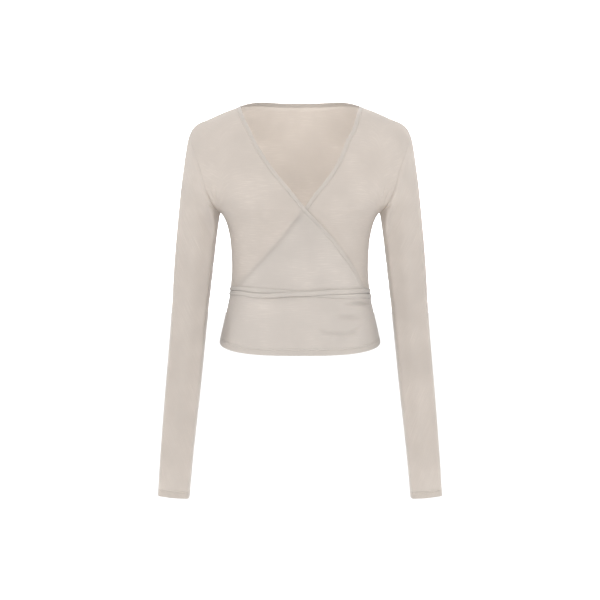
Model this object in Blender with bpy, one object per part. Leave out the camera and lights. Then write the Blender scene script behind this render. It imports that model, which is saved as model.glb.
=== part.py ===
"""A long-sleeved cropped wrap top in fine jersey, filled out as it is worn, with nobody in it.

Metres, +Z up, +X to the wearer's left, -Y to the front. The origin is the middle of the shoulders,
where the wearer carries the garment: x = 0, y = 0 on the shoulder seams' plane.

Every cloth piece is a wall of two skins, worked out from one shape of the torso and one of the sleeve.
A row of a panel is named by its level: the height at which it meets the side seam or the armhole.
"""

import bmesh
import bpy
import numpy as np
from mathutils import Matrix

for old in list(bpy.data.objects):
    bpy.data.objects.remove(old)

MM = 0.001

# Cloth and sewing
WALL = 1.2 * MM  # jersey, drawn as a wall
SEAM_GAP = 0.3 * MM  # between two pieces that are sewn together
BINDING_WIDTH = 6.5 * MM
BINDING_WALL = 1.8 * MM
BINDING_PROUD = 0.3 * MM
UNDERLAP_SINK = 2.8 * MM  # how far the inner front lies beneath the outer one's face
UNDERLAP_MARGIN = 9.0 * MM  # how far past the outer cloth's edge it stays that deep
UNDERLAP_EASE = 9.0 * MM  # over which it then comes up
SIDE_LAP = 3.0 * MM  # of the sunk front's seam allowance, inside the back

# Heights
SHOULDER_TIP_Z = -24.0 * MM
ARMPIT_Z = -165.0 * MM
WRAP_CORNER_Z = -302.0 * MM  # where both wrap edges reach the side seams, under the ties
HEM_SIDE_Z = -384.5 * MM
NECK_POINT_X = 100.0 * MM  # where neckline and shoulder seam meet

# How the torso rounds off
SIDE_SQUARENESS = 2.4  # power of the cross-section: 2 is an ellipse
ROLL_POWER = 0.58  # of the roll over the shoulder: 0.5 is an ellipse, 1 a fold
ROLL_REACH = {"front": 110.0 * MM, "back": 90.0 * MM}
HEM_SLOPE = {"front": 0.165, "back": 0.065}  # the hem dips towards the middle
BUST_FORWARD = 15.0 * MM
BUST_X = 56.0 * MM
BUST_Z = -138.0 * MM
BUST_WIDTH = 46.0 * MM
BUST_HEIGHT = 50.0 * MM
BUST_DIP = 0.35  # share of the fullness that the cloth loses as it bridges the middle

# Mesh
HEM_ROWS = 9
WAIST_ROWS = 14
WAIST_BIAS = 1.8  # above 1, rows crowd where the wrap edges reach the side seams
ARMHOLE_ROWS = 12
FRONT_COLUMNS = 18
NECK_COLUMNS = 9
SHOULDER_COLUMNS = 5
FAN_RINGS = 8  # rows of the sleeve's table that fan out over the shoulder
FAN_ROWS = 8
ARM_ROWS = 16
FINE = 240  # steps of the fine lines that rows are spaced along
NUDGE = 0.05 * MM  # step of the slopes


def table(columns, rows):
    """A table with named columns; the first column is the one it is looked up by."""
    return dict(zip(columns.split(), np.array(rows, float).T * MM))


TORSO = table(
    "z side front back",
    [
        (-420, 140, 95, 103),
        (-381, 136, 93, 98),
        (-350, 129.5, 88, 87),
        (-320, 122.5, 82, 74),
        (-299, 118.5, 79, 68.5),
        (-279, 116.8, 78, 67.5),
        (-258, 115.6, 78, 69),
        (-218, 117.3, 83, 79),
        (-187, 123, 90, 87),
        (-170, 130, 95, 91),
        (-165, 134.3, 96, 92),
        (-157, 142.8, 98, 93.5),
        (-150, 149.5, 98, 94.5),
        (-140, 158, 98, 96),
        (-120, 173, 96, 98),
        (-95, 190, 91, 99),
        (-60, 211, 82, 97),
        (-20, 216, 73, 90),
        (60, 216, 62, 80),
    ],
)
SHOULDER = table(
    "x z",
    [
        (0, 50),
        (30, 46),
        (60, 33.5),
        (100, 15.5),
        (128, 5),
        (155, -7),
        (172, -14.3),
        (182.5, -24),
        (187, -33),
    ],
)
ARMHOLE = table(
    "z x",
    [
        (-165, 134.3),
        (-157, 141.5),
        (-139, 151.5),
        (-118, 159),
        (-94, 165),
        (-78, 170.5),
        (-58, 178),
        (-40, 182.8),
        (-24, 182.5),
    ],
)
BACK_NECK = table(
    "x z",
    [(0, 18.3), (25, 19.2), (42, 20.4), (60, 21.7), (75, 21.8), (85, 20.4), (94, 17.9), (100, 15.5)],
)
# Each front's edge under its binding, from the far side seam up to its own side of the neck.
# across counts from the middle, away from the side that the front starts on.
OUTER_EDGE = table(
    "z across",
    [
        (-302, 118.6),
        (-300.5, 115.5),
        (-298.5, 111.8),
        (-296, 108.7),
        (-264, 90.6),
        (-236.5, 70.7),
        (-210, 50.5),
        (-189, 32.2),
        (-156, 1.4),
        (-131, -16.5),
        (-111.7, -32.1),
        (-91.6, -49.1),
        (-68.3, -65.4),
        (-46.6, -78.8),
        (-28.2, -88.5),
        (-11, -97.3),
        (0, -102),
        (12.7, -106.8),
    ],
)
INNER_EDGE = table(
    "z across",
    [
        (-302, 118.6),
        (-300.5, 115.3),
        (-298.5, 111.2),
        (-296, 107.8),
        (-276.9, 91.7),
        (-236, 52.1),
        (-209.5, 27.8),
        (-189, 12.1),
        (-173.6, 0.4),
        (-154, -15.4),
        (-135.8, -28.6),
        (-116.4, -44.4),
        (-93.7, -60.6),
        (-67.8, -75.7),
        (-46.3, -85),
        (-27.8, -94.6),
        (-11, -100.2),
        (0, -103),
        (12.7, -106.8),
    ],
)
EDGE_HEIGHT = {name: OUTER_EDGE[name][::-1] for name in ("across", "z")}
# Creases: middle of each on the front, how long and wide it is, how its ends turn up, how deep it is pressed.
FRONT_FOLDS = table(
    "x z length width turn_up depth",
    [
        (104, -318, 32, 6, 0, 2.6),
        (78, -342, 32, 8, 5, 2.2),
        (69, -367, 40, 7.5, 12, 2.4),
        (80, -330, 34, 7, 3, -1.4),
        (70, -355, 38, 7, 8, -1.6),
        (-124, -148, 18, 6, -8, 1.8),
        (124, -148, 18, 6, -8, 1.8),
    ],
)
# Sleeve: where each ring shows from the front, outer and inner side, with its middle and half its depth.
SLEEVE = table(
    "outer_x outer_z inner_x inner_z middle_y half_depth",
    [
        (182.5, -24, 134.3, -165, 2.5, 52),
        (188.5, -38, 135.3, -168, 2.5, 51.5),
        (192.5, -58, 136.2, -171, 3, 51),
        (196, -82, 136.9, -174.5, 3, 50),
        (199.5, -107, 137.6, -179, 3, 49),
        (202.5, -133, 138.6, -185, 3, 48),
        (205, -159, 139.8, -193.5, 3, 47),
        (207.3, -184, 141.3, -204, 3, 46),
        (210, -214, 143.4, -222, 2, 45),
        (213.6, -262, 148.4, -268, 0, 43),
        (218.3, -345, 157.8, -350, -5, 39.5),
        (223.3, -410, 164, -415, -12, 37.5),
        (228.3, -473, 170.2, -478, -22, 35.5),
        (232.4, -531, 176.4, -536, -33, 33),
        (236.2, -590, 182.2, -595, -43, 30),
        (238.6, -637, 186.2, -642, -50, 28),
    ],
)
# Each tie, by thousandths of a turn from its own side seam: 250 is the middle front, 750 the middle back.
OUTER_TIE = table(
    "turn z width lift",
    [
        (0, -294.9, 5.4, 0),
        (90, -293.4, 6.6, 0),
        (180, -292.6, 8, 0),
        (235, -295.3, 8, 0),
        (250, -297, 7.5, 0),
        (265, -298.8, 7.5, 0),
        (310, -302, 8, 0),
        (400, -304, 8, 0),
        (500, -306, 7.5, 0),
        (600, -304, 8, 0),
        (750, -300, 8, 0),
    ],
)
INNER_TIE = table(
    "turn z width lift",
    [
        (0, -297, 7.8, 0),
        (90, -294.5, 8, 0),
        (160, -293.6, 8, 0),
        (195, -294, 8, 2.8),
        (250, -298, 7.5, 3),
        (300, -302.6, 7.5, 2.8),
        (335, -303.4, 8, 0),
        (400, -302.6, 8, 0),
        (460, -301.4, 6.5, 0),
        (500, -301.2, 5.6, 0),
        (600, -301, 7, 0),
        (750, -300, 8, 0),
    ],
)
TIE_WALL = 1.8 * MM
TIE_CLEAR = 0.8 * MM  # over the cloth beneath
TIE_CROWN = 0.4 * MM
TIE_STEPS = 72
TIE_KNOT = {"width": 15.0 * MM, "depth": 6.4 * MM, "height": 11.5 * MM, "rounding": 2.4 * MM}

COTTON = (0.64, 0.58, 0.51)
BINDING_COLOUR = (0.60, 0.54, 0.48)


def look_up(rows, column, key):
    """A column of a table at any key, on a smooth curve that never overshoots its rows."""
    knots, values = rows[next(iter(rows))], rows[column]
    steps = np.diff(knots)
    climbs = np.diff(values) / steps
    slopes = np.concatenate([climbs[:1], np.zeros(len(climbs) - 1), climbs[-1:]])
    same_way = climbs[:-1] * climbs[1:] > 0
    slopes[1:-1][same_way] = 2 * (climbs[:-1] * climbs[1:])[same_way] / (climbs[:-1] + climbs[1:])[same_way]
    key = np.clip(np.asarray(key, float), knots[0], knots[-1])
    i = np.clip(np.searchsorted(knots, key, side="right") - 1, 0, len(steps) - 1)
    t = (key - knots[i]) / steps[i]
    rest = 1 - t
    return (
        values[i] * (1 + 2 * t) * rest**2
        + slopes[i] * steps[i] * t * rest**2
        + values[i + 1] * t**2 * (3 - 2 * t)
        - slopes[i + 1] * steps[i] * t**2 * rest
    )


def ease(share):
    """0 to 1, starting and ending gently."""
    share = np.clip(share, 0, 1)
    return share * share * (3 - 2 * share)


def unit(vectors):
    return vectors / np.maximum(np.linalg.norm(vectors, axis=-1, keepdims=True), 1e-12)


# The torso: one closed shape, whose front and back halves meet at the side and shoulder seams


def shoulder_z(x):
    return look_up(SHOULDER, "z", np.abs(x))


def fullness(x, z):
    """How far the bust lifts the front."""
    beside = np.maximum(np.abs(x) - BUST_X, 0) / BUST_WIDTH
    bridge = 1 - BUST_DIP * np.exp(-((x / (0.6 * BUST_X)) ** 2))
    return BUST_FORWARD * bridge * np.exp(-(beside**2) - ((z - BUST_Z) / BUST_HEIGHT) ** 2)


def reach(half, x, z, below_shoulder):
    """Depth of the torso before its sides round off."""
    share = np.clip(below_shoulder / ROLL_REACH[half], 0, 1)
    depth = look_up(TORSO, half, z) * (1 - (1 - share) ** 2) ** ROLL_POWER
    return depth + fullness(x, z) if half == "front" else depth


def side_share(x, z):
    return 1 - (np.abs(x) / look_up(TORSO, "side", z)) ** SIDE_SQUARENESS


def hem_slope(half, z):
    return HEM_SLOPE[half] * ease((WRAP_CORNER_Z - z) / (WRAP_CORNER_Z - HEM_SIDE_Z))


def row_end(level):
    """How far from the middle a row reaches: to the side seam, or above the armpit to the armhole."""
    return np.where(level <= ARMPIT_Z, look_up(TORSO, "side", level), look_up(ARMHOLE, "x", level))


def row_z(level, x):
    """Height along a row: level, and more and more parallel to the shoulder seam near the top."""
    rise = ease((level - ARMPIT_Z) / (SHOULDER_TIP_Z - ARMPIT_Z))
    return level + rise * (shoulder_z(x) - shoulder_z(row_end(level)))


def torso_point(half, x, z):
    """The point of the front or the back at x, z, let down where the hem dips."""
    below = np.maximum(shoulder_z(x) - z, 0)
    depth = reach(half, x, z, below) * np.sqrt(np.maximum(side_share(x, z), 0))
    y = -depth if half == "front" else depth
    return np.stack([x, y, z - hem_slope(half, z) * depth], axis=-1)


def row_point(half, level, x):
    x = np.asarray(x, float)
    return torso_point(half, x, row_z(level, x))


def outside(half, points):
    """Above 0 outside the torso and below 0 inside it."""
    x, y, z = points[..., 0], points[..., 1], points[..., 2]
    z = z + hem_slope(half, z) * np.abs(y)
    below = shoulder_z(x) - z
    below = (below + np.hypot(below, 8 * NUDGE)) / 2  # never 0, so that the shoulder line has a slope
    return y**2 - reach(half, x, z, below) ** 2 * side_share(x, z)


def torso_normal(half, points):
    slope = [outside(half, points + step) - outside(half, points - step) for step in NUDGE * np.eye(3)]
    return unit(np.stack(slope, axis=-1))


def on_torso(half, points):
    """Points brought back to the torso's surface."""
    for _ in range(5):
        normal = torso_normal(half, points)
        ahead, behind = outside(half, points + normal * NUDGE), outside(half, points - normal * NUDGE)
        points = points - normal * (NUDGE * (ahead + behind) / (ahead - behind))[..., None]
    return points


def at_shares(line, share, values):
    """Values along a line, at those shares of its length."""
    along = np.concatenate([[0], np.cumsum(np.linalg.norm(np.diff(line, axis=0), axis=1))])
    return np.interp(np.asarray(share) * along[-1], along, values)


def spaced_x(half, level, start, end, share):
    """x at those shares of the way along a row from start to end, measured on the cloth."""
    limit = row_end(level)
    turns = np.arcsin(np.clip([start / limit, end / limit], -1, 1))
    x = limit * np.sin(np.linspace(*turns, FINE))
    return at_shares(row_point(half, level, x), share, x)


def levels():
    """Levels of a panel's rows from hem to shoulder, spaced along the side seam and the armhole."""
    fine = np.linspace(ARMPIT_Z, SHOULDER_TIP_Z, FINE)
    line = np.array([row_point("front", level, row_end(level)) for level in fine])
    armhole = at_shares(line, np.linspace(0, 1, ARMHOLE_ROWS + 1), fine)
    hem = np.linspace(HEM_SIDE_Z, WRAP_CORNER_Z, HEM_ROWS + 1)
    waist = WRAP_CORNER_Z + (ARMPIT_Z - WRAP_CORNER_Z) * np.linspace(0, 1, WAIST_ROWS + 1) ** WAIST_BIAS
    return np.concatenate([hem[:-1], waist[:-1], armhole])


LEVELS = levels()
CORNER_ROW = HEM_ROWS
ARMPIT_ROW = HEM_ROWS + WAIST_ROWS
TOP_ROW = len(LEVELS) - 1


# The sleeve: rings that fan out from the armpit over the shoulder and then run down the arm


def armhole_loop():
    """The wearer's left armhole, from the armpit up the front, over the shoulder and down the back."""
    up = LEVELS[ARMPIT_ROW:]
    front = np.array([row_point("front", level, row_end(level)) for level in up])
    back = np.array([row_point("back", level, row_end(level)) for level in up])
    front_normals = np.array([torso_normal("front", p) for p in front])
    back_normals = np.array([torso_normal("back", p) for p in back])
    off_front = np.array([edge_way("front", level) for level in up])
    off_back = np.array([edge_way("back", level) for level in up])
    return (
        np.concatenate([front, back[-2:0:-1]]),
        np.concatenate([front_normals, back_normals[-2:0:-1]]),
        np.concatenate([off_front, off_back[-2:0:-1]]),
    )


def edge_way(half, level):
    """The way in which a row leaves its panel at the armhole."""
    end = row_point(half, level, row_end(level))
    if level in (ARMPIT_Z, SHOULDER_TIP_Z):
        return unit(np.cross([0.0, 1.0, 0.0], torso_normal(half, end)) * [1, 0, 1])
    return unit(end - row_point(half, level, row_end(level) * (1 - 1e-4)))


def sleeve_ring(step, angle):
    """Points of the sleeve's ring at a row of its table, or between two, at angles from the underarm."""
    order = {"row": np.arange(len(SLEEVE["outer_x"])), **SLEEVE}
    size = {name: look_up(order, name, step) for name in SLEEVE}
    outer = np.array([size["outer_x"], 0, size["outer_z"]])
    inner = np.array([size["inner_x"], 0, size["inner_z"]])
    middle = (outer + inner) / 2 + [0, size["middle_y"], 0]
    across = np.outer(np.cos(angle), (outer - inner) / 2)
    return middle - across - np.outer(np.sin(angle), [0, size["half_depth"], 0])


def sleeve_rings():
    """Points of the wearer's left sleeve, a row for each ring, starting at the armhole."""
    loop, _, _ = armhole_loop()
    under, front, over = (sleeve_ring(0, [turn])[0] for turn in (0, np.pi / 2, np.pi))
    middle, up = (under + over) / 2, (over - under) / 2
    forward = front - middle
    from_middle = loop - middle
    own_angle = np.arctan2(from_middle @ forward / (forward @ forward), -from_middle @ up / (up @ up))
    own_angle = own_angle % (2 * np.pi)
    own_angle[0] = 0.0
    even_angle = 2 * np.pi * np.arange(len(loop)) / len(loop)
    left_over = loop - sleeve_ring(0, own_angle)
    fan = np.linspace(0, FAN_RINGS, FAN_ROWS + 1)
    arm = np.linspace(FAN_RINGS, len(SLEEVE["outer_x"]) - 1, ARM_ROWS + 1)
    rings = []
    for step in np.concatenate([fan, arm[1:]]):
        settled = ease(step / FAN_RINGS)
        angle = own_angle + settled * (even_angle - own_angle)
        rings.append(sleeve_ring(step, angle) + (1 - settled) * left_over)
    return np.array(rings)


def sleeve_normals(rings):
    along = np.gradient(rings, axis=0)
    ahead, behind = np.roll(rings, -1, axis=1), np.roll(rings, 1, axis=1)
    normals = unit(np.cross(ahead - behind, along))
    middle = rings.mean(axis=1, keepdims=True)
    return normals * np.sign((normals * (rings - middle)).sum(-1).mean())


def armhole_seam(rings, normals):
    """How torso and sleeve part at the armhole: the way from one to the other, and each one's way inwards."""
    _, body_normals, body_ways = armhole_loop()
    sleeve_ways = unit(rings[1] - rings[0])
    apart = unit(body_ways + sleeve_ways)
    ridge = (sleeve_ways * body_normals).sum(-1, keepdims=True) < 0
    both = unit(body_normals + normals[0])
    spread = np.maximum((both * body_normals).sum(-1, keepdims=True), 0.8)
    body = np.where(ridge, both / spread, body_normals)
    sleeve = np.where(ridge, both / spread, normals[0])
    return apart, body, sleeve


RINGS = sleeve_rings()
RING_NORMALS = sleeve_normals(RINGS)
APART, BODY_SEAM_NORMAL, SLEEVE_SEAM_NORMAL = armhole_seam(RINGS, RING_NORMALS)


def mirrored(vectors, side):
    return vectors * np.array([side, 1.0, 1.0])


def seam_at(half, row, side):
    """The armhole seam's way apart and the wall's direction for a panel's row that ends on it."""
    k = row - ARMPIT_ROW
    k = k if half == "front" or k in (0, ARMHOLE_ROWS) else 2 * ARMHOLE_ROWS - k
    return mirrored(APART[k], side), mirrored(BODY_SEAM_NORMAL[k], side)


# Panels


def crease(points):
    """How far the named creases press the front in at these points."""
    depth = np.zeros(points.shape[:-1])
    for x, z, length, width, turn_up, press in zip(*FRONT_FOLDS.values()):
        along = (points[..., 0] - x) / length
        line = z + turn_up * along**2
        depth += press * np.exp(-(along**2) * 2 - ((points[..., 2] - line) / width) ** 2)
    return depth


def edge_x(edge, side, row):
    """x at which a front's row ends: at its binding, or below the corner at the far side seam.

    side is +1 for the front that starts at the wearer's right (-X) and crosses towards +X.
    """
    level = LEVELS[row]
    low, high = -row_end(level), row_end(level)
    if row <= CORNER_ROW:
        return side * high
    for _ in range(40):
        middle = (low + high) / 2
        if middle < look_up(edge, "across", row_z(level, middle)):
            low = middle
        else:
            high = middle
    return side * low


def off_seam(half):
    """The step that parts the front from the back at the side and shoulder seams."""
    return np.array([0, -SEAM_GAP / 2 if half == "front" else SEAM_GAP / 2, 0])


def finish_row(half, row, points, normals, sewn_sides):
    """Parts a row from the pieces that it is sewn to, and turns its seam walls to the seam."""
    if row == TOP_ROW:
        points[np.abs(points[:, 1]) < SEAM_GAP] += off_seam(half)
    for index, side in sewn_sides:
        if row >= ARMPIT_ROW:
            apart, wall = seam_at(half, row, side)
            points[index] -= apart * SEAM_GAP / 2
            normals[index] = wall
        if row <= ARMPIT_ROW:
            points[index] += off_seam(half)


def front_panel(side, edge, sink):
    """Outer points and normals of a wrap front."""
    panel, panel_normals = [], []
    for row, level in enumerate(LEVELS):
        start, end = -side * row_end(level), edge_x(edge, side, row)
        x = spaced_x("front", level, start, end, np.linspace(0, 1, FRONT_COLUMNS + 1))
        points = row_point("front", level, x)
        normals = torso_normal("front", points)
        sunk = sink(points)
        points = points - normals * (sunk + crease(points))[:, None]
        sewn_sides = [(0, -side), (-1, side)] if row <= CORNER_ROW else [(0, -side)]
        finish_row("front", row, points, normals, sewn_sides)
        clear_of_back = WALL + SEAM_GAP
        points[0, 1] += SIDE_LAP * ease((sunk[0] - clear_of_back) / (UNDERLAP_SINK - clear_of_back))
        panel.append(points)
        panel_normals.append(normals)
    return np.array(panel), np.array(panel_normals)


def front_binding(side, edge, sink):
    """Outer points and normals of the strip on a wrap front's edge, from the side seam up to the shoulder."""
    rows = range(CORNER_ROW, TOP_ROW + 1)
    seam = np.array([row_point("front", LEVELS[row], edge_x(edge, side, row)) for row in rows])
    normals = torso_normal("front", seam)
    along = np.gradient(seam, axis=0)
    along[0], along[-1] = (0, -1, 0), (0, 1, 0)
    way = side * unit(np.cross(along, normals))
    strip = np.stack([seam + way * (SEAM_GAP + BINDING_WIDTH * share) for share in (0, 0.5, 1)], axis=1)
    strip[:-1] = on_torso("front", strip[:-1])
    strip[-1, :, 2] = shoulder_z(strip[-1, :, 0])
    walls = torso_normal("front", strip)
    strip = strip - walls * (sink(strip) + crease(strip))[..., None]
    strip[[0, -1]] += off_seam("front")
    return strip, walls


def level_front(points):
    return np.zeros(points.shape[:-1])


def under_outer_front(points):
    """How far the inner front sinks, so that the outer one lies over it."""
    x, z = points[..., 0], points[..., 2]
    side = look_up(TORSO, "side", z)
    edge = look_up(OUTER_EDGE, "across", z)
    beside = side * (np.arcsin(np.clip(x / side, -1, 1)) - np.arcsin(np.clip(edge / side, -1, 1)))
    above = z - look_up(EDGE_HEIGHT, "z", x)
    beside, above = np.maximum(beside, 0), np.maximum(above, 0)
    past = beside * above / np.maximum(np.hypot(beside, above), NUDGE)
    return UNDERLAP_SINK * (1 - ease((past - UNDERLAP_MARGIN) / UNDERLAP_EASE))


def neckline():
    """The back neckline's upper edge from the middle outwards, with its normals and the way down it."""
    x = NECK_POINT_X * np.sin(np.linspace(0, np.pi / 2, FINE))
    z = look_up(BACK_NECK, "z", x)
    fine = torso_point("back", x, z)
    shares = np.linspace(0, 1, NECK_COLUMNS + 1)
    top = np.stack([at_shares(fine, shares, values) for values in fine.T], axis=1)
    normals = torso_normal("back", top)
    run = np.gradient(top, axis=0)
    run[0], run[-1] = (1, 0, 0), (0, -1, 0)
    return top, normals, unit(np.cross(normals, run))


def neck_strip():
    """Half of the strip round the back neck, from its seam up to its edge, and the back's edge below."""
    top, normals, down = neckline()
    depths = BINDING_WIDTH, BINDING_WIDTH / 2, 0, BINDING_WIDTH + SEAM_GAP
    strip = np.stack([top + down * depth for depth in depths], axis=1)
    strip[:-1] = on_torso("back", strip[:-1])
    strip[-1, :, 1] = 0
    strip[-1, :, 2] = shoulder_z(strip[-1, :, 0])
    return strip, torso_normal("back", strip)


def back_panel():
    """Outer points and normals of the back."""
    cut = neck_strip()[0][:, 3]
    to_neck = np.arange(NECK_COLUMNS + 1) / (NECK_COLUMNS + SHOULDER_COLUMNS)
    to_side = np.linspace(0, 1, SHOULDER_COLUMNS + 1)[1:]
    panel, panel_normals = [], []
    for row, level in enumerate(LEVELS):
        even = spaced_x("back", level, 0, row_end(level), to_neck)
        inner = even + ease((row - ARMPIT_ROW) / ARMHOLE_ROWS) * (cut[:, 0] - even)
        outer = spaced_x("back", level, inner[-1], row_end(level), to_side)
        x = np.concatenate([inner, outer])
        z = row_z(level, x)
        if row > ARMPIT_ROW:
            opened = np.zeros(len(x))
            opened[:NECK_COLUMNS] = shoulder_z(inner[:-1]) - np.interp(inner[:-1], cut[:, 0], cut[:, 2])
            z -= opened * (z - ARMPIT_Z) / (shoulder_z(x) - ARMPIT_Z)
        points = torso_point("back", x, z)
        if row == TOP_ROW:
            points[: NECK_COLUMNS + 1] = cut
        normals = torso_normal("back", points)
        points = np.concatenate([mirrored(points, -1)[:0:-1], points])
        normals = np.concatenate([mirrored(normals, -1)[:0:-1], normals])
        finish_row("back", row, points, normals, [(0, -1), (-1, 1)])
        panel.append(points)
        panel_normals.append(normals)
    return np.array(panel), np.array(panel_normals)


def neck_binding():
    """Points and normals of the strip round the back neck, from one shoulder seam to the other."""
    strip, walls = (values[:, :3] for values in neck_strip())
    strip[-1] += off_seam("back")
    return (
        np.concatenate([mirrored(strip, -1)[:0:-1], strip]),
        np.concatenate([mirrored(walls, -1)[:0:-1], walls]),
    )


def tie_strip(rows, side):
    """Points and normals of a tie, from the seam at x = -side across the front and round to the knot."""
    strip, walls = [], []
    for turn in np.linspace(0, rows["turn"][-1], TIE_STEPS + 1):
        size = {name: look_up(rows, name, turn) for name in rows}
        across = -np.cos(2 * np.pi * turn)
        half = "front" if turn < 0.5 else "back"
        x = look_up(TORSO, "side", size["z"]) * np.sign(across) * np.abs(across) ** (2 / SIDE_SQUARENESS)
        if turn == rows["turn"][-1]:
            x = TIE_KNOT["width"] / 2 + SEAM_GAP
        middle = torso_point(half, x, size["z"])
        normal = torso_normal(half, middle)
        up = unit(np.cross(normal, [normal[1], -normal[0], 0.0]))
        up = up * np.sign(up[2])
        face = middle + normal * (TIE_CLEAR + TIE_WALL + size["lift"])
        edge = up * size["width"] / 2
        strip.append([face - edge, face + normal * TIE_CROWN, face + edge])
        walls.append([normal] * 3)
    strip, walls = np.array(strip), np.array(walls)
    strip[0] += off_seam("front")
    return mirrored(strip, side), mirrored(walls, side)


# Solids


def jersey(name, colour):
    """The material of one piece: matt cotton jersey."""
    made = bpy.data.materials.new(name)
    made.use_nodes = True
    shader = made.node_tree.nodes["Principled BSDF"]
    shader.inputs["Base Color"].default_value = (*colour, 1)
    shader.inputs["Roughness"].default_value = 0.85
    shader.inputs["Metallic"].default_value = 0.0
    return made


def cloth(name, points, normals, colour, wall=WALL, proud=0.0, around=False):
    """A cloth wall as an object: a grid of outer points, and a second skin one wall further in."""
    rows, columns = points.shape[:2]
    outer = points + normals * proud
    inner = outer - normals * wall
    mesh = bmesh.new()
    wide = columns if around else columns - 1
    bmesh.ops.create_grid(mesh, x_segments=wide, y_segments=rows - 1, size=0.5)
    for vert in mesh.verts:
        vert.co.x = round((vert.co.x + 0.5) * wide)
        vert.co.y = round((vert.co.y + 0.5) * (rows - 1))
    if around:
        left = {round(v.co.y): v for v in mesh.verts if v.co.x == 0}
        right = {v: left[round(v.co.y)] for v in mesh.verts if v.co.x == wide}
        bmesh.ops.weld_verts(mesh, targetmap=right)
    made = bmesh.ops.extrude_face_region(mesh, geom=mesh.faces[:], use_keep_orig=True)
    second = {v for v in made["geom"] if isinstance(v, bmesh.types.BMVert)}
    for vert in mesh.verts:
        skin = inner if vert in second else outer
        vert.co = skin[round(vert.co.y), round(vert.co.x)]
    bmesh.ops.recalc_face_normals(mesh, faces=mesh.faces[:])
    finish(name, mesh, colour)


def finish(name, mesh, colour):
    """Makes the mesh a named object of the garment."""
    data = bpy.data.meshes.new(name)
    mesh.to_mesh(data)
    mesh.free()
    data.materials.append(jersey(name, colour))
    data.shade_smooth()
    garment.objects.link(bpy.data.objects.new(name, data))


def tie_knot():
    """The small flat knot in which both ties end at the middle back, their ends tucked in."""
    z = OUTER_TIE["z"][-1]
    mesh = bmesh.new()
    bmesh.ops.create_cube(mesh, size=1.0)
    size = TIE_KNOT["width"], TIE_KNOT["depth"], TIE_KNOT["height"]
    bmesh.ops.scale(mesh, vec=size, verts=mesh.verts[:])
    rounding = {"offset": TIE_KNOT["rounding"], "segments": 3, "profile": 0.5, "material": -1}
    bmesh.ops.bevel(mesh, geom=mesh.edges[:], affect="EDGES", **rounding)
    middle = torso_point("back", 0.0, z)
    normal = torso_normal("back", middle)
    lean = Matrix.Rotation(np.arctan2(normal[2], normal[1]), 3, "X")
    bmesh.ops.rotate(mesh, matrix=lean, verts=mesh.verts[:])
    bmesh.ops.translate(mesh, vec=middle + normal * (TIE_CLEAR + TIE_KNOT["depth"] / 2), verts=mesh.verts[:])
    finish("tie_knot", mesh, BINDING_COLOUR)


garment = bpy.data.collections.new("wrap top")
bpy.context.scene.collection.children.link(garment)

cloth("front_outer", *front_panel(1, OUTER_EDGE, level_front), COTTON)
strip, walls = front_binding(1, OUTER_EDGE, level_front)
cloth("binding_outer", strip, walls, BINDING_COLOUR, BINDING_WALL, BINDING_PROUD)
cloth("front_inner", *front_panel(-1, INNER_EDGE, under_outer_front), COTTON)
strip, walls = front_binding(-1, INNER_EDGE, under_outer_front)
cloth("binding_inner", strip, walls, BINDING_COLOUR, BINDING_WALL)

cloth("back", *back_panel(), COTTON)
cloth("binding_neck", *neck_binding(), BINDING_COLOUR, BINDING_WALL, BINDING_PROUD)

rings, ring_normals = RINGS.copy(), RING_NORMALS.copy()
rings[0] += APART * SEAM_GAP / 2
ring_normals[0] = SLEEVE_SEAM_NORMAL
for name, side in (("sleeve_left", 1), ("sleeve_right", -1)):
    cloth(name, mirrored(rings, side), mirrored(ring_normals, side), COTTON, around=True)

cloth("tie_outer", *tie_strip(OUTER_TIE, 1), BINDING_COLOUR, TIE_WALL)
cloth("tie_inner", *tie_strip(INNER_TIE, -1), BINDING_COLOUR, TIE_WALL)
tie_knot()
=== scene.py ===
import bmesh
import bpy
import numpy as np
from mathutils import Matrix, Vector


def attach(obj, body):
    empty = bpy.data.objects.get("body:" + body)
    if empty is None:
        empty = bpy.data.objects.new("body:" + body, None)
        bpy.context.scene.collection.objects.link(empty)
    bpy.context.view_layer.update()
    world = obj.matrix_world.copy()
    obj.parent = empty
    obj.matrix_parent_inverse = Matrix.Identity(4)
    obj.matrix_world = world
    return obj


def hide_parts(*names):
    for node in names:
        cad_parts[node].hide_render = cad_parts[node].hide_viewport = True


# A long-sleeved cropped wrap top in fine cotton jersey, hollow as it is worn. Metres, +Z up, +X to the
# wearer's left, -Y to the front, and the origin in the middle of the shoulders. A row of a panel is
# named by its level: the height at which it meets the side seam or the armhole.

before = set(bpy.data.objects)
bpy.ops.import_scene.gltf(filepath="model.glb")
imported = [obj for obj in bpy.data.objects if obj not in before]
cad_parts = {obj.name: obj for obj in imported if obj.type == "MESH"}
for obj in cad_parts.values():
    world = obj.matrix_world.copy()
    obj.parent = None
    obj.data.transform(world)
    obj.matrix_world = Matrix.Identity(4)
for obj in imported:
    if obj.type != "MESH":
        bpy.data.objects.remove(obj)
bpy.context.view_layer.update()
MM = 0.001

# Camera
# It stands 3.2 m in front of the garment, level with the chest, and looks down on its middle by 3.5
# degrees.
CAMERA_TARGET_Z = -312.8 * MM
CAMERA_DISTANCE = 3.2
CAMERA_DOWN = np.radians(3.5)
VIEW_WIDTH = 1.02  # across the view, at the garment

camera = bpy.data.objects.new("camera", bpy.data.cameras.new("camera"))
camera.location = (
    0,
    -CAMERA_DISTANCE * np.cos(CAMERA_DOWN),
    CAMERA_TARGET_Z + CAMERA_DISTANCE * np.sin(CAMERA_DOWN),
)
camera.rotation_euler = (np.pi / 2 - CAMERA_DOWN, 0, 0)
camera.data.lens = camera.data.sensor_width * CAMERA_DISTANCE / VIEW_WIDTH
bpy.context.scene.collection.objects.link(camera)
bpy.context.scene.camera = camera

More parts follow.
